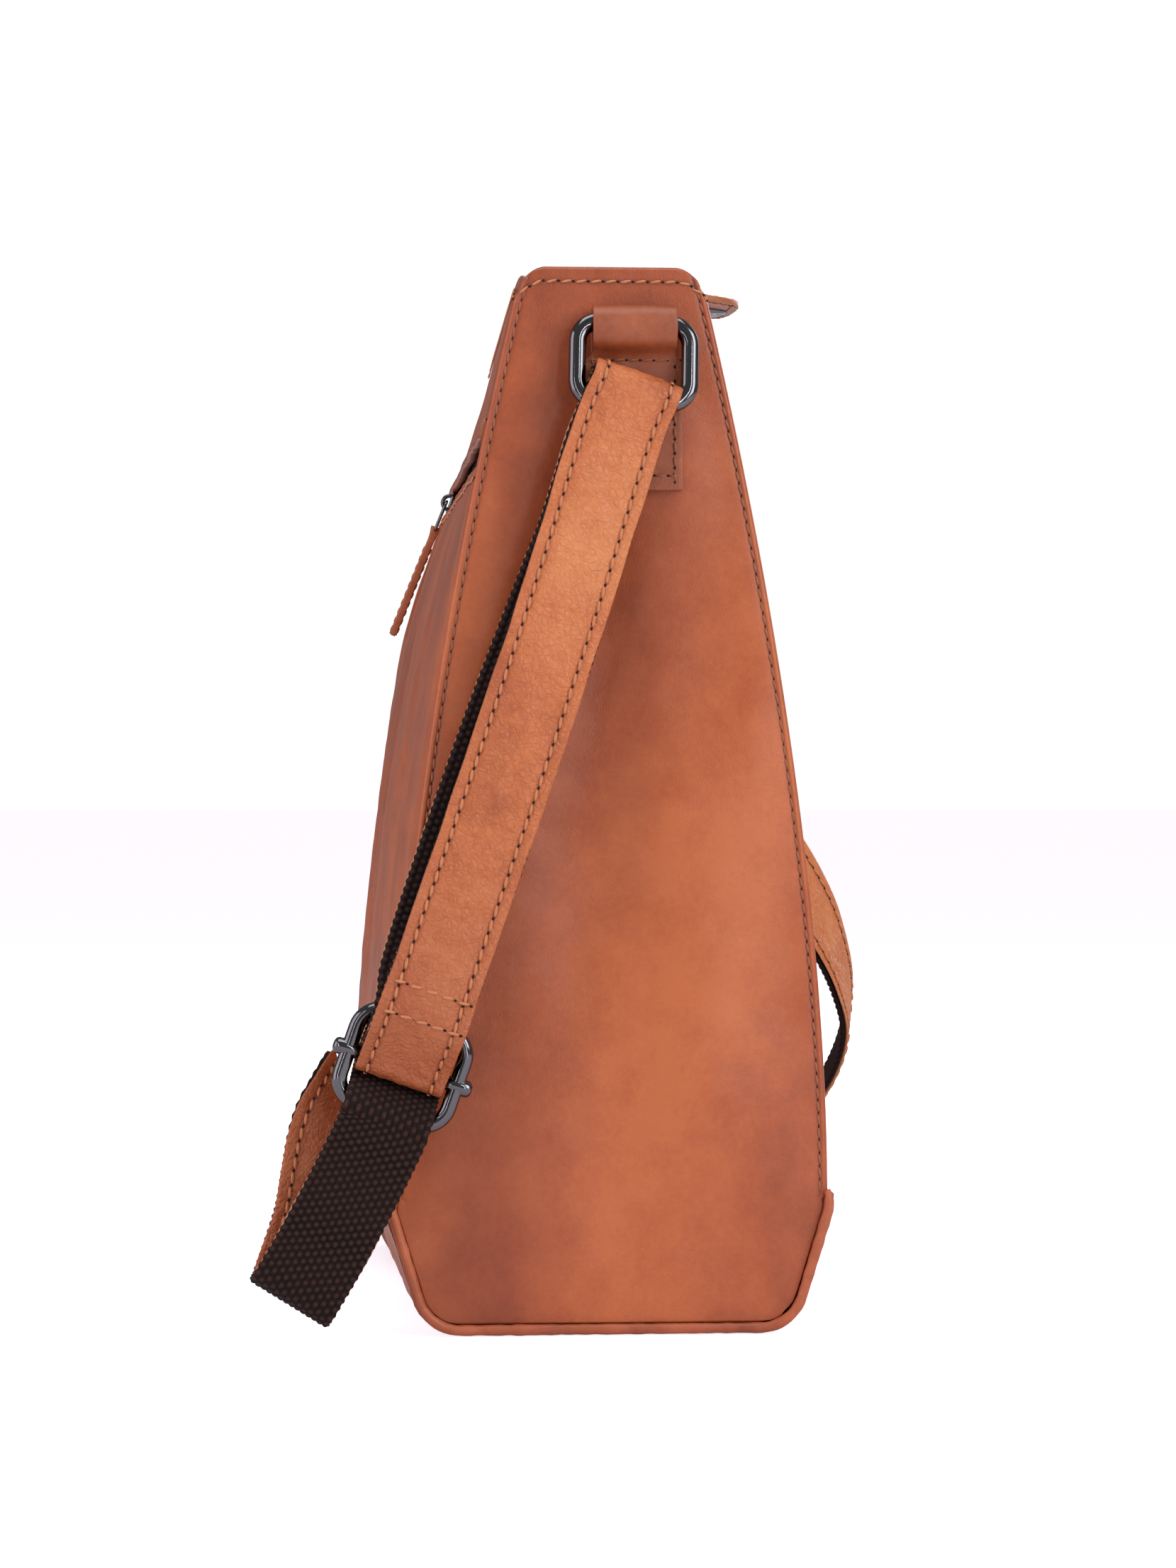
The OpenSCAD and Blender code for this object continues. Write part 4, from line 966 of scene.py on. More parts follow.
doubled = [limb(SLIDE_S - 36, 20.9), limb(TOP_S - 7, 22), limb(TOP_S, 21.6), limb(SLIDE_S - 9.4, 17.5),
    limb(SLIDE_S - 3, 8.9)]
doubled += [turn_round(BAR_WRAP, SLIDE_S, SLIDE_X, a) for a in range(180, 361, 45)]
doubled += [limb(SLIDE_S - 4.4, 18), limb(SLIDE_S - 9.4, 22.1), limb(TOP_S, 25.5),
    limb(TOP_S - 8, 25.4), limb(SLIDE_S * 0.8, 23.6),
    limb(SLIDE_S * 0.55, 19.6), limb(SLIDE_S * 0.3, 16.8, -0.8), limb(12, BAR_X + RING_WRAP, -2.6)]
doubled += [turn_round(RING_WRAP, -RING_LIFT, BAR_X, a, RING_SHIFT) for a in range(0, 181, 45)]
inner = [limb(14, BAR_X - RING_WRAP, -2.8), limb(30, 5.6, -2.2), limb(46, 4.4, -1.8),
    limb(64, 3.4, -2.4), limb(SLIDE_S * 0.5, 2.8, -3.6),
    limb(SLIDE_S * 0.75, 4.5, -3.6), limb(TOP_S - 14, 11, -3), limb(TOP_S - 6, 16.4, -1.6),
    limb(TOP_S, SLIDE_X + OVER_BAR + 1.6, -0.8),
    limb(SLIDE_S - 11.4, 13.9, -0.6), limb(SLIDE_S - 5.4, 6.1, -0.5), limb(SLIDE_S, 2.8, -0.3),
    limb(SLIDE_S + 5.6, 5), limb(LOW_S - 5, 13), limb(LOW_S, SLIDE_X + OVER_BAR + 1.7), limb(LOW_S + 6, 16.8)]
fold = [(15.6, -10, 50, 24), (15, -20, 31, 29), (14, -27.5, 18, 32), (10.5, -29.8, 13.8, 32),
    (5, -30, 13, 32), (0.5, -28.6, 15.6, 32),
    (-2, -25.4, 24, 33), (-2, -21, 38, 35), (-1.5, -18.5, 52, 40), (-3, -16.4, 64, 50),
    (-8, -13.6, 73, 62), (-18, -12, 76.5, 70)]
fold = [dipped(HALF_W + x, -BOOT_HALF + y, z, dip) for x, y, z, dip in fold]
run = [dipped(x, SIDE_Y + y, z, dip) for x, y, z, dip in (
    (105, 0, 70, 80), (60, 0, 57, 87), (0, 0, 42, 90), (-60, -2, 28, 90), (-109.5, -4, 18, 90),
    (-150, -2, EDGE_Z, 90))]
run += [(-HALF_W - x, SIDE_Y + y, z, *w) for x, y, z, w in (
    (27, 14, EDGE_Z, (0, 0, -1)), (39, 42, EDGE_Z - 0.6, (-0.2, 0, -0.98)),
    (41, 74, 12.4, (-0.72, 0, -0.7)), (39, 104, 6, (-0.97, 0, -0.22)), (37, 130, FLAT_Z, (-1, 0, 0)))]
rise = [(-HALF_W - x, FAR_Y + y, z, *w, 0) for x, y, z, w in (
    (35, -8, FLAT_Z + 5, (-1, 0)), (33, 14, 22, (-1, 0)), (31, 32, 45, (-1, 0)),
    (29.5, 44, 62, (-1, 0.02)), (28, 50, 80, (-0.99, 0.12)),
    (25, 48.5, 99, (-0.92, 0.38)), (21, 41.5, 118, (-0.8, 0.6)), (17, 32, 135, (-0.68, 0.73)),
    (12.5, 16, 157, (-0.5, 0.86)),
    (9.6, -3, 182, (-0.3, 0.95)), (8, -22, 209, (-0.12, 0.99)))]
drop = BAR_Z - 209
far = [far_limb(drop * 0.62, 6.4), far_limb(drop * 0.36, 5.6, -1.2), far_limb(12, BAR_X - RING_WRAP, -2.8)]
far += [far_limb(-RING_LIFT - RING_WRAP * math.sin(math.radians(a)),
    BAR_X - RING_WRAP * math.cos(math.radians(a)), RING_SHIFT) for a in range(0, 181, 45)]
far += [far_limb(8, BAR_X + RING_WRAP, -2.8), far_limb(20, BAR_X + RING_WRAP - 1.6, -1.8),
    far_limb(34, BAR_X - 0.6, -1), far_limb(46, BAR_X - 0.7, -0.6)]
ROUTE = np.array(doubled + inner + fold + run + rise + far, float)
OPEN_END = len(doubled) + len(inner) + len(fold) - 1
FLOOR_END = OPEN_END + len(run)
FAR_END = len(ROUTE) - 1


def along_route(start, stop, step):
    """Evenly spaced places on the route from number start to stop, with their width direction."""
    u = np.linspace(start, stop, int((stop - start) * 40))
    i = np.minimum(np.floor(u).astype(int), FAR_END - 1)
    t = (u - i)[:, None]
    return evenly(between(*(ROUTE[np.clip(i + k, 0, FAR_END)] for k in (-1, 0, 1, 2)), t), step)


whole = along_route(0, FAR_END, 1.0)
print("strap is", round(len(whole)), "mm long from end to end")

# %% [markdown]
# ## The strap's two layers
# The webbing is a plain basket weave, two yarns by two: each little bump is where a warp yarn
# rides over the weft. The bumps are real relief on the side that shows, so that the edge of
# the strap is uneven too. The leather layer has a groove pressed along each stitch row, raw
# edges, and a loose pebbled grain.

# %% Strap layers
YARN, RIB = 2.7, 2.07
ROW_IN = 3.9
STRAP_ROW = STRAP_W / 2 - ROW_IN


def weave(across, along):
    """Relief of the basket weave, from 0 to 1, offset from one column to the next."""
    column = np.floor(across / RIB)
    phase = (column % 2) * 0.5
    over = np.abs(np.sin(math.pi * (along / YARN + phase)))
    side = np.abs(np.sin(math.pi * across / RIB))
    return (over**0.7) * (0.35 + 0.65 * side**0.6)


def webbing_layer(name, line):
    """Webbing along line, woven on its outward side, -STRAP_WEB to 0 in thickness."""
    half = STRAP_W / 2
    across = np.linspace(-half, half, 71)
    steps = np.arange(len(line)) * np.linalg.norm(line[1, :3] - line[0, :3])
    A, S = np.meshgrid(across, steps)
    bump = weave(A, S)
    edge = smooth((half - np.abs(A)) / 0.9)
    low = (-STRAP_WEB - 0.1) * (0.55 + 0.45 * edge) - (bump - 0.5) * 0.62 * edge
    wide = A * (1 + 0.018 * (np.abs(A) > half - 0.7) * np.sin(2 * math.pi * S / YARN))
    outline = np.stack([wide, low], -1)
    top = np.stack([A[:, ::10][:, ::-1] * 0.98, -0.06 + 0 * A[:, ::10]], -1)
    both = np.concatenate([outline, top], 1)
    # The weave's height also goes to the shade attribute, as painted shade in the hollows.
    shade = np.concatenate([bump, np.full(top.shape[:2], 0.3)], 1)
    return swept(name, follow(line[:, :3], line[:, 3:], both), [WEBBING], shade=shade)


def leather_layer(name, line, relief=1.0, seed=31):
    half = STRAP_W / 2
    across = np.concatenate([np.linspace(-half, -half + 1.2, 4),
        np.linspace(-half + 1.8, half - 1.8, 40), np.linspace(half - 1.2, half, 4)])
    steps = np.arange(len(line)) * np.linalg.norm(line[1, :3] - line[0, :3])
    A, S = np.meshgrid(across, steps)
    edge = half - np.abs(A)
    groove = -0.22 * np.exp(-(((edge - ROW_IN) / 0.9) ** 2))
    pad = 0.2 * smooth((edge - ROW_IN) / 4) * relief
    loose = (0.14 * ripple(A, S, 3.2, seed, 26) + 0.2 * ripple(A, S * 0.7, 9, seed + 1)
        + 0.12 * ripple(A, S, 1.7, seed + 2, 30)) * smooth((edge - 4.2) / 3) * relief
    high = STRAP_LEATHER - 0.12 + groove + pad + loose - 0.35 * (1 - smooth(edge / 0.7))
    wander = 0.22 * ripple(S, 0 * S, 16, seed + 3) * np.sign(A) * smooth((3 - edge) / 3)
    face = np.stack([A + wander, high], -1)
    under = np.stack([(A + wander)[:, ::-1][:, ::6], 0.05 + 0 * A[:, ::6]], -1)
    both = np.concatenate([face, under], 1)
    # Painted shade: darker lines in the stitch grooves, and on the open end's part a painted shade that deepens
    # towards its low end.
    painted_low_shade = 0.5 * smooth((190 - line[:, 2:3]) / 110) * (line[:, 0:1] > 0)
    shade = np.concatenate([np.clip(0.55 * np.exp(-(((edge - ROW_IN) / 0.6) ** 2)) + painted_low_shade, 0, 0.8),
        np.zeros(under.shape[:2])], 1)
    count = both.shape[1]
    strips = [0] * (face.shape[1] - 1) + [1] * (count - face.shape[1] + 1)
    return swept(name, follow(line[:, :3], line[:, 3:], both), [STRAP_HIDE, CUT_EDGE], strips, shade)


def strap_rows(line, start=3.0, stop=3.0):
    """Both stitch rows of a length of strap, on its leather face, leaving mm at each end."""
    step = np.linalg.norm(line[1, :3] - line[0, :3])
    first, last = int(start / step), len(line) - int(stop / step)
    part = line[first:last]
    rows = []
    for side in (-1, 1):
        outline = np.array([[side * STRAP_ROW, STRAP_LEATHER - 0.22]])
        row = follow(line[:, :3], line[:, 3:], outline)[first:last, 0]
        lower = follow(line[:, :3], line[:, 3:], outline - (0, 1))[first:last, 0]
        rows.append((row, row - lower))
    return rows


def strap_part(tag, start, stop, place, nodes):
    """One stretch of the strap, as a leather piece, a webbing piece and its stitches."""
    fine = along_route(start, stop, 0.66)
    coarse = along_route(start, stop, 1.0)
    made = [leather_layer("strap_leather_" + tag, coarse, seed=31 + len(tag)),
        webbing_layer("strap_webbing_" + tag, fine)]
    made.append(stitches("strap_stitches_" + tag, strap_rows(coarse), None, None, length=4.8, thread=4.0,
        width=1.15, slant=0.16, hole=1.15))
    for part, slot_name, node_name in zip(made, ("bag_leather", "strap_webbing", "trim_leather"),
            nodes + [None]):
        if isinstance(place, str):
            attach(part, place)
        else:
            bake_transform(part)
        if node_name:
            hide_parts(*node_name)
        print(part.name, len(part.data.polygons), "faces")


OPEN_BEND = ("strap_open_end", "bag", (0.147, -0.084, 0.06), (-0.06, -0.084, 0.03))
FAR_BEND = ("bag", "strap_far_end", (-0.189, -0.05, 0.005), (-0.183, 0.10, 0.05))
strap_part("right", 0, OPEN_END, "strap_open_end", [["strap_leather_right"], ["strap_webbing_right"]])
strap_part("floor", OPEN_END, OPEN_END + 6.0, OPEN_BEND, [["strap_leather_run"], ["strap_webbing_run"]])
strap_part("far_turn", OPEN_END + 6.0, FLOOR_END + 1.0, FAR_BEND, [[], []])
strap_part("left", FLOOR_END + 1.0, FAR_END, "strap_far_end",
    [["strap_leather_left"], ["strap_webbing_left"]])

# %% [markdown]
# ## Sewing the tail down
# Two rows across the strap, above the slide, sew the outer layer to the tail behind it.

# %% Cross rows
outer = along_route(len(doubled) - 13, len(doubled) - 8, 0.5)
rows = []
for height in (110.5, 101.5):
    here = outer[np.argmin(np.abs(outer[:, 2] - height))]
    near = outer[np.argmin(np.abs(outer[:, 2] - height)) + 1]
    pair = np.array([here, near])
    line = np.stack([follow(pair[:, :3], pair[:, 3:], np.array([[w, STRAP_LEATHER + 0.02]]))[0, 0]
        for w in np.linspace(-STRAP_ROW, STRAP_ROW, 9)])
    low = follow(pair[:, :3], pair[:, 3:], np.array([[0, STRAP_LEATHER - 1]]))[0, 0]
    high = follow(pair[:, :3], pair[:, 3:], np.array([[0, STRAP_LEATHER]]))[0, 0]
    rows.append((line, high - low))
stitches("strap_cross_stitches", rows, "strap_open_end", "trim_leather", length=4.8, thread=4.0,
    width=1.15, slant=0.16, hole=1.15)

# %% [markdown]
# ## The slide
# The slide is a wire frame with a bar across it, cast in one metal. The bar's ends grip the
# frame as short rounded knobs. Turned shapes like the bar are a circle swept along a line with
# its radius changing.

# %% Slide
SLIDE_AT = np.array(limb(SLIDE_S, SLIDE_X)[:3])


def on_slide(points):
    return turned(np.asarray(points, float), "X", -math.degrees(LEAN)) + SLIDE_AT


def rod(name, stations, place, finish, axis=(0, 1.0, 0), count=20):
    """A turned rod: stations are (distance along the axis, radius)."""
    along = np.array([s for s, _ in stations])[:, None] * np.array(axis)
    side = np.array([1.0, 0, 0]) if abs(axis[0]) < 0.5 else np.array([0, 0, 1.0])
    other = np.cross(side, axis)
    ring = circle(1, count)
    radii = np.array([r for _, r in stations])[:, None, None]
    rings = along[:, None] + radii * (ring[None, :, :1] * side + ring[None, :, 1:] * other)
    return swept(name, place(rings), [finish])


frame_piece = wire_loop("slide_frame_metal", SLIDE_W, SLIDE_H, SLIDE_WIRE, 8.0, 2.3, on_slide, count=24)
on_body(frame_piece, "strap_open_end", "gunmetal", "slide_frame")
half = 23.2
knob = [(half, 0.3), (half - 0.15, 1.4), (half - 0.6, 2.2), (half - 1.4, 2.65), (half - 3, 2.75),
    (half - 6.2, 2.75), (half - 7.6, 2.5), (half - 8.6, 2.1)]
stations = [(-s, r) for s, r in knob] + [(s, r) for s, r in knob[::-1]]
on_body(rod("slide_bar_metal", stations, on_slide, GUNMETAL), "strap_open_end", "gunmetal", "slide_bar")

# %% [markdown]
# ## The zip
# Two tapes hang behind the lips, each with a row of metal teeth. A tooth is a small block, and
# the rows are one Geometry Nodes tree: two lines of blocks, set half a step apart so that
# they mesh. The slider is two plates with a bridge between them, and carries a bail, a wire
# link and a doubled leather pull.

# %% Zip frame and tapes
ZIP_LEN, TAPE_W, TAPE_T = 272.0, 14.0, 0.8
ZIP_LEAN, TAPE_Y = 19.0, LEATHER_T + 0.3
ZIP_TURN = math.degrees(math.atan(float(half_depth(150, ZIP_Z) - half_depth(-150, ZIP_Z)) / 300))


def on_zip(points):
    """X along the teeth, -Y outwards, Z up the side of the bag."""
    p = turned(turned(np.asarray(points, float), "X", -ZIP_LEAN), "Z", -ZIP_TURN)
    return p + (0, -float(half_depth(0, ZIP_Z)), ZIP_Z)


def tape_rings(low, high):
    rings = []
    for x in np.linspace(-ZIP_LEN / 2, ZIP_LEN / 2, 140):
        z = np.linspace(low, high, 7)
        rib = 0.06 * math.sin(x * 3.1)
        y = -half_depth(x, z) + TAPE_Y
        rings.append(np.vstack([np.stack([x + 0 * z, y + rib, z], 1),
            np.stack([x + 0 * z, y + TAPE_T, z], 1)[::-1]]))
    return rings


tapes = [swept("tape", tape_rings(ZIP_Z + 3.5, ZIP_Z + 3 + TAPE_W), [ZIP_TAPE]),
    swept("tape", tape_rings(ZIP_Z - 3 - TAPE_W, ZIP_Z - 4.5), [ZIP_TAPE])]
on_body(joined("zip_tape_cloth", tapes), "bag", "zip_tape", "zip_tapes")

# %% [markdown]
# ### Zip teeth
# Stamped metal teeth are all alike, so one block is repeated along two lines that mesh.

# %% Zip teeth
def teeth_tree():
    tree = bpy.data.node_groups.new("meshing_teeth", "GeometryNodeTree")
    face = tree.interface
    for label, value in (("Row length", 0.264), ("Tooth pitch", 0.0022), ("Tooth thickness", 0.0012),
            ("Tooth reach", 0.0036), ("Tooth depth", 0.0024), ("Row offset", 0.0013)):
        face.new_socket(label, in_out="INPUT", socket_type="NodeSocketFloat").default_value = value
    face.new_socket("Metal", in_out="INPUT", socket_type="NodeSocketMaterial")
    face.new_socket("Teeth", in_out="OUTPUT", socket_type="NodeSocketGeometry")
    given = node(tree, "NodeGroupInput").outputs
    count = node(tree, "ShaderNodeMath", {0: given["Row length"], 1: given["Tooth pitch"]},
        operation="DIVIDE").outputs[0]
    step = node(tree, "ShaderNodeCombineXYZ", {"X": given["Tooth pitch"]})
    size = node(tree, "ShaderNodeCombineXYZ",
        {"X": given["Tooth thickness"], "Y": given["Tooth depth"], "Z": given["Tooth reach"]})
    block = node(tree, "GeometryNodeMeshCube", {"Size": size.outputs["Vector"]})
    rows = node(tree, "GeometryNodeJoinGeometry")
    for sign in (1, -1):
        x = node(tree, "ShaderNodeMath", {0: given["Row length"], 1: -0.5,
            2: node(tree, "ShaderNodeMath", {0: given["Tooth pitch"], 1: 0.25 * sign},
                operation="MULTIPLY").outputs[0]}, operation="MULTIPLY_ADD").outputs[0]
        z = node(tree, "ShaderNodeMath", {0: given["Row offset"], 1: sign}, operation="MULTIPLY").outputs[0]
        start = node(tree, "ShaderNodeCombineXYZ", {"X": x, "Z": z})
        line = node(tree, "GeometryNodeMeshLine",
            {"Count": count, "Start Location": start.outputs["Vector"], "Offset": step.outputs["Vector"]})
        placed = node(tree, "GeometryNodeInstanceOnPoints",
            {"Points": line.outputs["Mesh"], "Instance": block.outputs["Mesh"]})
        tree.links.new(placed.outputs["Instances"], rows.inputs[0])
    real = node(tree, "GeometryNodeRealizeInstances", {"Geometry": rows.outputs[0]})
    shown = node(tree, "GeometryNodeSetMaterial", {"Geometry": real.outputs[0], "Material": given["Metal"]})
    node(tree, "NodeGroupOutput", {0: shown.outputs[0]})
    return tree


teeth = piece("zip_teeth_metal", [(0, 0, 0)], [], [GUNMETAL])
evaluated(teeth, teeth_tree(), {"Metal": GUNMETAL})
places = np.array([v.co for v in teeth.data.vertices]) / MM + (0, TAPE_Y + TAPE_T / 2, 0)
teeth.data.vertices.foreach_set("co", (on_zip(places) * MM).astype(np.float32).ravel())
on_body(teeth, "bag", "gunmetal", "zip_teeth")

# %% [markdown]
# ### Slider and pull
# The slider is cast: two plates joined by a post that parts the rows. A doubled strip of hide,
# sewn along both edges, hangs from it on a wire link.

# %% Slider, bail, link and pull
SLIDER_X, SLIDER_LEN = -ZIP_LEN / 2 + 6.5 + 6, 13.0
TEETH_FRONT = TAPE_Y + TAPE_T / 2 - 1.2
PLATE_Y = TEETH_FRONT - 0.4 - 1.5
PULL_Y, LINK_W, LINK_LEN, LINK_WIRE = PLATE_Y - 1.1, 9.0, 13.0, 1.2
PULL_W, PULL_T, PULL_LEN, PULL_OUT = 7.0, 2.6, 44.0, 3.0


def slider_plate(name, low, high):
    """A plate with a waist behind its two shoulders, in the zip's frame."""
    xs = np.linspace(-SLIDER_LEN / 2, SLIDER_LEN / 2, 27)
    rings = []
    for x in xs:
        t = (x + SLIDER_LEN / 2) / SLIDER_LEN
        w = 6.0 + 2.5 * math.sin(math.pi * min(1, t * 0.75 + 0.2)) ** 1.5
        w *= min(1, 0.72 + 0.9 * min(t, 1 - t) * 2)
        shape = box_outline(w, low, high, 0.45, 4)
        rings.append(np.stack([np.full(len(shape), SLIDER_X + x), shape[:, 1], shape[:, 0]], 1))
    return swept(name, on_zip(rings), [GUNMETAL])


parts = [slider_plate("plate", PLATE_Y, PLATE_Y + 1.5),
    slider_plate("plate", TEETH_FRONT + 2.8, TEETH_FRONT + 4.3)]
post = [[(SLIDER_X + x, y, z) for y in (PLATE_Y + 1.4, TEETH_FRONT + 2.9)
    for z in ((-0.7, 0.7) if y < 1.5 else (0.7, -0.7))] for x in (-6.3, -2.3)]
parts.append(swept("post", on_zip(post), [GUNMETAL], flat=True))
on_body(joined("zip_slider_metal", parts), "slider", "gunmetal", "zip_slider")

turn = np.radians(np.linspace(-8, 188, 15))
arch = np.stack([SLIDER_X + 0 * turn, PLATE_Y - 2.5 * np.sin(turn), 2.6 * np.cos(turn)], 1)
rings = follow(arch, np.tile([1.0, 0, 0], (len(arch), 1)), circle(0.75, 12, 2.6))
on_body(swept("zip_bail_metal", on_zip(rings), [GUNMETAL]), "slider", "gunmetal", "zip_bail")


def on_pull(points):
    p = turned(np.asarray(points, float), "X", -PULL_OUT)
    return on_zip(p + (SLIDER_X, PULL_Y, 0))


def link_place(points):
    p = turned(points, "Z", 90) - (0, 0, LINK_LEN / 2 - LINK_WIRE / 2)
    return on_pull(p)


on_body(wire_loop("zip_link_metal", LINK_W, LINK_LEN, LINK_WIRE, 2.2, 2.0, link_place, count=12),
    "pull", "gunmetal", "zip_pull_link")

eye = LINK_LEN - LINK_WIRE
rings = []
zs = -np.concatenate([[0.0, 0.4, 1.0, 2.0, 3.2, 5.0], np.linspace(6.5, PULL_LEN - 5, 22),
    PULL_LEN - np.array([4.0, 3, 2, 1.2, 0.6, 0.15])])
for z in zs:
    from_end, from_top = PULL_LEN + z, -z
    w = PULL_W * (1 - 0.42 * (1 - smooth(from_end / 3.6))) * (0.72 + 0.28 * smooth(from_top / 4))
    thick = PULL_T * (0.7 + 0.3 * smooth(from_end / 1.2)) + 1.3 * math.exp(-((from_top / 2.2) ** 2))
    shape = box_outline(w, -thick / 2, thick / 2, 0.55, 5)
    rings.append(np.stack([shape[:, 0], shape[:, 1], np.full(len(shape), z - eye + 1.4)], 1))
on_body(swept("zip_pull_tab", on_pull(rings), [TAB_LEATHER]), "pull", "trim_leather", "zip_pull_leather")
zs = np.linspace(-8, -PULL_LEN + 4, 20) - eye
rows = []
for face in (-1, 1):
    for x in (-2.1, 2.1):
        line = np.stack([x + 0 * zs, face * PULL_T / 2 * np.ones(20), zs], 1)
        rows.append((on_pull(line), on_pull(line + (0, face, 0)) - on_pull(line)))
stitches("zip_pull_stitches", rows, "pull", "trim_leather", length=3.4, thread=2.4, width=0.6, hole=0.7)

# %% [markdown]
# ## The closure tongue
# A flat tongue of two hides sewn together comes up from behind the pocket side, lies over the
# mouth and hangs a little past the plain side. It is made as two meshes, a root and an end,
# each baked in place.

# %% Tongue
TONGUE_W, TONGUE_T, TONGUE_Z = 64.0, 2.3, BODY_H + 3.0
RIM_MID = float(half_depth(0, BODY_H))
POCKET_ROOM = 14.6
FOLD_Y, TIP_LEN, TIP_R = RIM_MID + 7.5, 27.0, 20


def lining_inset(z):
    """How far in the lining hangs on the pocket side: past the pocket bag, then close to the rim."""
    return POCKET_ROOM + (LEATHER_T + 1.6 - POCKET_ROOM) * smooth((z - ZIP_Z + 16) / 36)


def tongue_part(name, line, widths, seed):
    """A ribbon of doubled hide along a line in the YZ plane, slightly puffed."""
    line = np.hstack([np.zeros((len(line), 1)), line])
    rings = []
    for k, w in enumerate(widths):
        cross = finer(box_outline(w, -TONGUE_T / 2, TONGUE_T / 2, 0.9, 5), 44)
        edge = w / 2 - np.abs(cross[:, 0])
        press = -0.25 * np.exp(-(((edge - 3) / 0.8) ** 2))
        loose = 0.12 * ripple(cross[:, 0], np.full(len(cross), k * 1.0), 11, seed)
        cross[:, 1] += np.sign(cross[:, 1]) * press + loose
        rings.append(cross)
    sides = np.tile([1.0, 0, 0], (len(line), 1))
    return swept(name, follow(line, sides, np.array(rings)), [TONGUE_LEATHER])


TONGUE_LEATHER = leather("tongue_hide", "#8a4a30", "#a8633f", "#bf7d55", 0.9, 0.12, 0.1)
mid_z = TONGUE_Z + TONGUE_T / 2
points = [(0, float(-half_depth(0, z) + lining_inset(z) + 2.0 + TONGUE_T / 2), z)
    for z in (298, 310, 322, 332)]
points += [(0, -20.6, 337.4), (0, -17.2, 341.6), (0, -11.5, mid_z - 0.1), (0, -4, mid_z), (0, 4, mid_z)]
root = spline(points, 1.0)[:, 1:]
made = tongue_part("tongue_root", root, np.full(len(root), TONGUE_W), 95)
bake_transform(made)
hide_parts("closure_tongue_anchor")

reach = np.concatenate([np.linspace(4, FOLD_Y + TIP_LEN - TIP_R, 40),
    FOLD_Y + TIP_LEN - TIP_R * (1 - np.sin(np.radians(np.linspace(3, 88, 26))))])
from_round = np.clip(reach - (FOLD_Y + TIP_LEN - TIP_R), 0, TIP_R)
widths = TONGUE_W - 2 * (TIP_R - np.sqrt(TIP_R**2 - from_round**2))
droop = -1.2 * smooth((reach - FOLD_Y - 4) / 24)
made = tongue_part("tongue_end", np.stack([reach, mid_z + droop], 1), widths, 97)
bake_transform(made)
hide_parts("closure_tongue", "closure_tongue_tip")
print("tongue reaches", round(reach[-1], 1), "mm out")

rows = []
inset = 3.0
keep = reach < reach[-1] - inset
for face in (-1, 1):
    for side in (-1, 1):
        x = side * (widths[keep] / 2 - inset)
        y = reach[keep]
        rows.append((np.stack([x, y, mid_z + droop[keep] + face * (TONGUE_T / 2 - 0.1)], 1), (0, 0, face)))
    x = np.linspace(-1, 1, 12) * (widths[keep][-1] / 2 - inset)
    rows.append((np.stack([x, np.full(12, reach[keep][-1]),
        np.full(12, mid_z + droop[keep][-1] + face * (TONGUE_T / 2 - 0.1))], 1), (0, 0, face)))
made = stitches("tongue_stitches", rows, None, None, length=4.2, thread=3.1, width=0.8, slant=0.15)
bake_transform(made)

# %% [markdown]
# ## Snap, lining and the parts that keep their CAD shape
# The two halves of the magnetic snap are turned discs with a rolled edge. The lining is a
# cloth cup that follows the leather. The board in the floor, the pocket bag and the washer
# behind the snap are hidden, so they keep the CAD shape and take only a finish.

# %% Snap
SNAP_R, SNAP_ARM = 9.0, 15.5
disc = [(0, 0.2), (0, SNAP_R - 0.5), (0.25, SNAP_R - 0.1), (0.9, SNAP_R), (1.6, SNAP_R - 0.1),
    (2.0, SNAP_R - 0.6), (2.3, SNAP_R - 1.6), (2.1, SNAP_R - 2.4), (2.0, 4.6), (2.35, 4.2), (2.4, 2.0),
    (2.1, 0.2)]


def stud_place(points):
    return points * (1, 1, -1) + (0, FOLD_Y + SNAP_ARM, TONGUE_Z - 0.1)


on_body(rod("snap_stud_metal", disc, stud_place, GUNMETAL, axis=(0, 0, 1.0), count=40), "tongue_tip",
    "gunmetal", "snap_stud")
socket_z = TONGUE_Z - SNAP_ARM
socket_lean = math.degrees(math.atan(float(half_depth(0, socket_z - 5) - half_depth(0, socket_z + 5)) / 10))


def socket_place(points):
    p = turned(points, "X", -90 + socket_lean)
    return p + (0, float(half_depth(0, socket_z)) + 0.4, socket_z)


on_body(rod("snap_socket_metal", disc, socket_place, GUNMETAL, axis=(0, 0, 1.0), count=40), "bag",
    "gunmetal", "snap_socket")

# %% [markdown]
# ### Lining
# The lining is sewn up as a bag of cloth, so it is one closed cup that stays inside the hide.

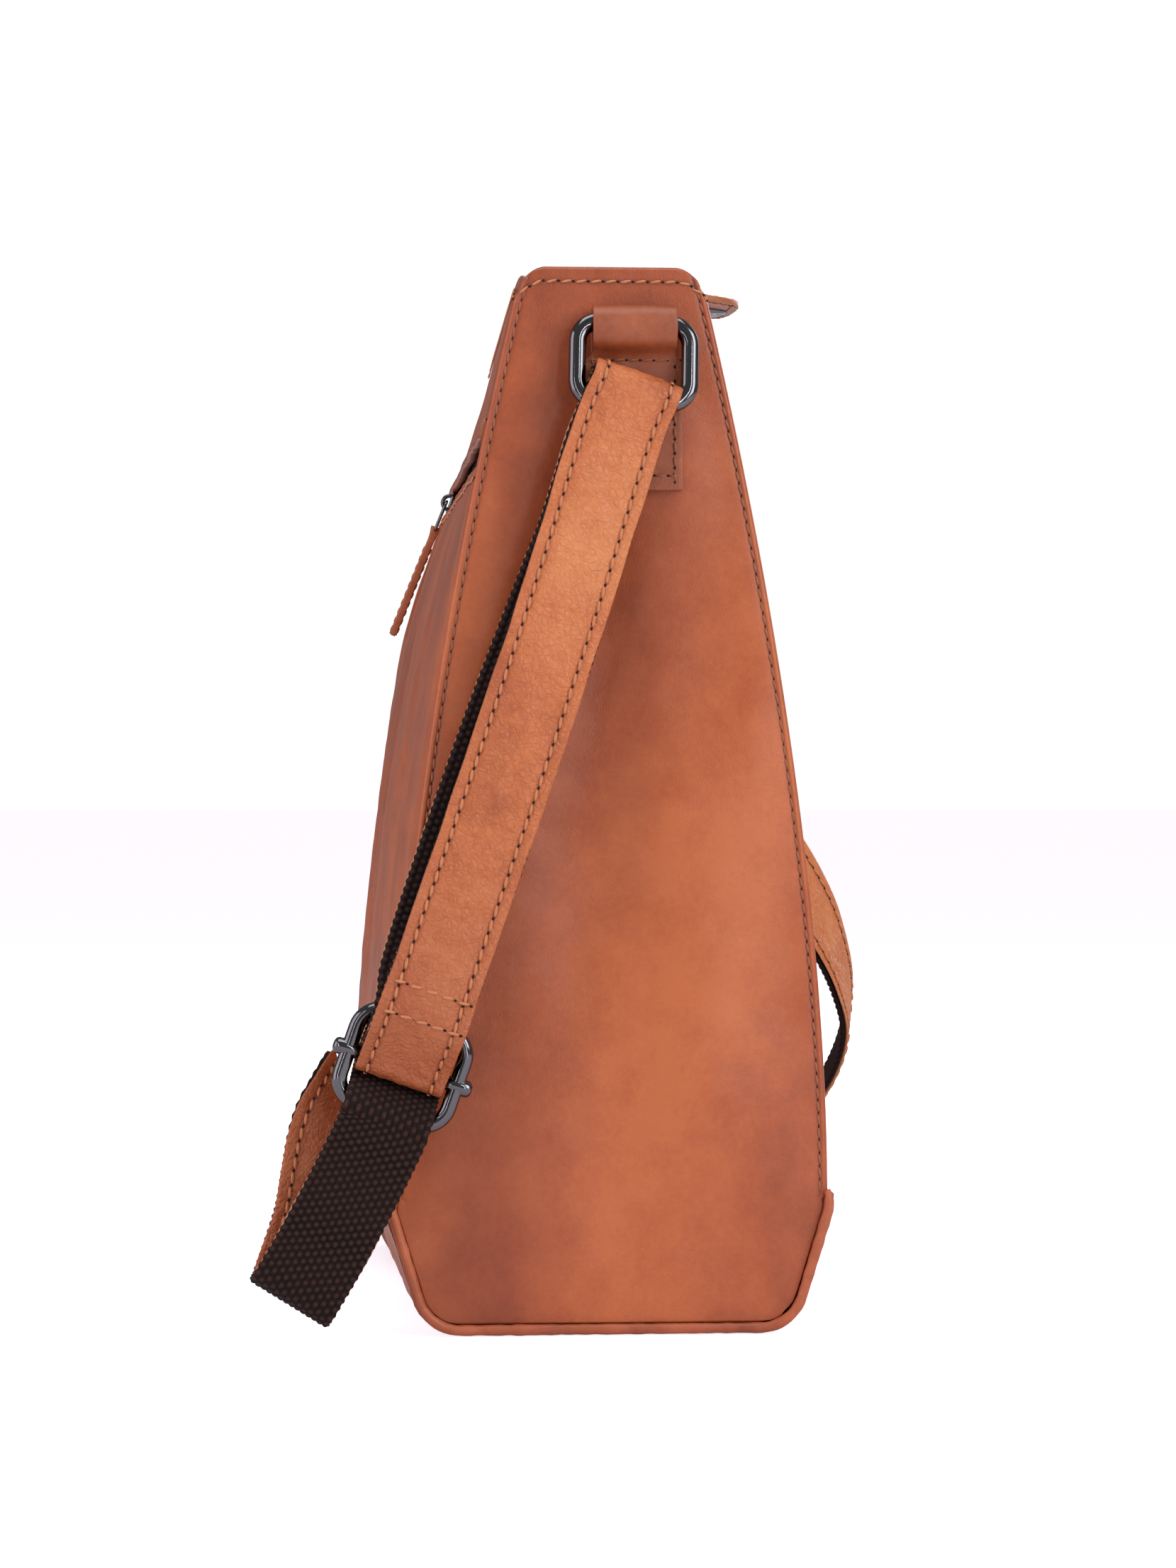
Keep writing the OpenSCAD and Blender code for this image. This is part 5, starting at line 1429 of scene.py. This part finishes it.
# %% Lining
def lining_level(z, t):
    """The outline of the cup at height z, set in by t."""
    xs = np.linspace(-1, 1, 60)
    x = xs * 147
    front = -half_depth(x, z) + lining_inset(z) + t
    back = half_depth(x, z) - 2 * LEATHER_T - t - 0.4
    soft = (0.6 * ripple(x, z + 0 * xs, 26, 101) * smooth((1 - np.abs(xs)) / 0.1)
        * smooth((z - 20) / 20) * smooth((322 - z) / 12))
    half = 145.2 - t
    one = np.stack([xs * half, back - np.abs(soft), z + 0 * xs], 1)
    two = np.stack([xs * half, front + np.abs(soft), z + 0 * xs], 1)[::-1]
    ends = []
    for line, side in ((two, -1), (one, 1)):
        y = np.linspace(0, 1, 12)[1:-1]
        start, stop = (one[-1], two[0]) if side > 0 else (two[-1], one[0])
        run = start + (stop - start) * y[:, None]
        edge = np.minimum(np.abs(run[:, 1] - start[1]), np.abs(run[:, 1] - stop[1]))
        run[:, 0] += np.minimum(0, gusset_relief(side, run[:, 1], np.full(10, z), edge)) * side
        ends.append(run)
    return np.vstack([one, ends[1], two, ends[0]])


floor_z, top_z = LEATHER_T + 3.2, BODY_H - 11
outside = np.linspace(floor_z, top_z, 70)
rings = [lining_level(z, 0) for z in outside] + [lining_level(z, 1.0) for z in outside[1:][::-1]]
rings.append(lining_level(floor_z + 1, 1.0))
on_body(swept("lining_cloth_cup", rings, [LINING_CLOTH]), "bag", "lining_cloth", "lining")

for name, finish, slot_name in (("base_board", FLOOR_BOARD, "base_board"),
        ("pocket_bag", LINING_CLOTH, "lining_cloth"), ("snap_washer", GUNMETAL, "gunmetal")):
    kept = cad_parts[name]
    kept.data.materials.clear()
    kept.data.materials.append(finish)

# %% [markdown]
# ## Studio
# A plain white floor, soft light from large panels and a level camera that looks along the bag.

# %% Floor, light and camera
def softbox(name, place, target, width, height, power, tint="#ffffff"):
    lamp = bpy.data.lights.new(name, "AREA")
    lamp.shape, lamp.size, lamp.size_y, lamp.energy = "RECTANGLE", width, height, power
    lamp.color = colour(tint)[:3]
    made = placed(name, lamp)
    made.location = place
    made.rotation_euler = (Vector(place) - Vector(target)).to_track_quat("Z", "Y").to_euler()
    return made


softbox("left_panel", (0.5, -1.7, 0.7), (0, 0, 0.15), 1.5, 1.6, 15, "#fff2f6")
softbox("right_panel", (1.5, 1.3, 1.0), (0.1, 0, 0.2), 0.9, 1.4, 19)
softbox("top_panel", (0.5, 0.0, 1.9), (0, 0, 0.1), 1.6, 1.2, 15)
softbox("left_strip", (1.7, -0.75, 0.5), (0.15, 0, 0.3), 0.05, 1.2, 2.4)
softbox("right_strip", (1.75, 0.5, 0.55), (0.15, 0, 0.3), 0.05, 1.2, 2.8)
softbox("rear_panel", (-1.6, 0.9, 1.1), (0, 0, 0.15), 1.4, 1.4, 16)

world = bpy.data.worlds.new("white_room")
bpy.context.scene.world = world
world.use_nodes = True
tree = world.node_tree
seen = node(tree, "ShaderNodeLightPath").outputs["Is Camera Ray"]
strength = node(tree, "ShaderNodeMath", {0: seen, 1: 0.85, 2: 0.2}, operation="MULTIPLY_ADD").outputs[0]
tree.links.new(strength, tree.nodes["Background"].inputs["Strength"])
tree.nodes["Background"].inputs["Color"].default_value = (1, 1, 1, 1)

paper, tree, shader = shader_for("white_paper", Roughness=0.9)
shader.inputs["Base Color"].default_value = colour("#f4f0f4")
shader.inputs["Emission Color"].default_value = colour("#fdf6fc")
seen = node(tree, "ShaderNodeLightPath").outputs["Is Camera Ray"]
glow = node(tree, "ShaderNodeMath", {0: seen, 1: 0.85}, operation="MULTIPLY").outputs[0]
tree.links.new(glow, shader.inputs["Emission Strength"])
corner = 30 / MM
floor = piece("floor", [(-corner, -corner, -0.2), (corner, -corner, -0.2), (corner, corner, -0.2),
    (-corner, corner, -0.2)], [(0, 1, 2, 3)], [paper])

lens = bpy.data.cameras.new("camera")
lens.lens, lens.sensor_width = 108.3, 36.0
lens.clip_end = 100
camera = placed("camera", lens)
camera.location = (1.65, -0.138, 0.1758)
camera.rotation_euler = (math.radians(90), 0, math.radians(85.02))
bpy.context.scene.camera = camera
bpy.context.scene.view_settings.view_transform = "Standard"
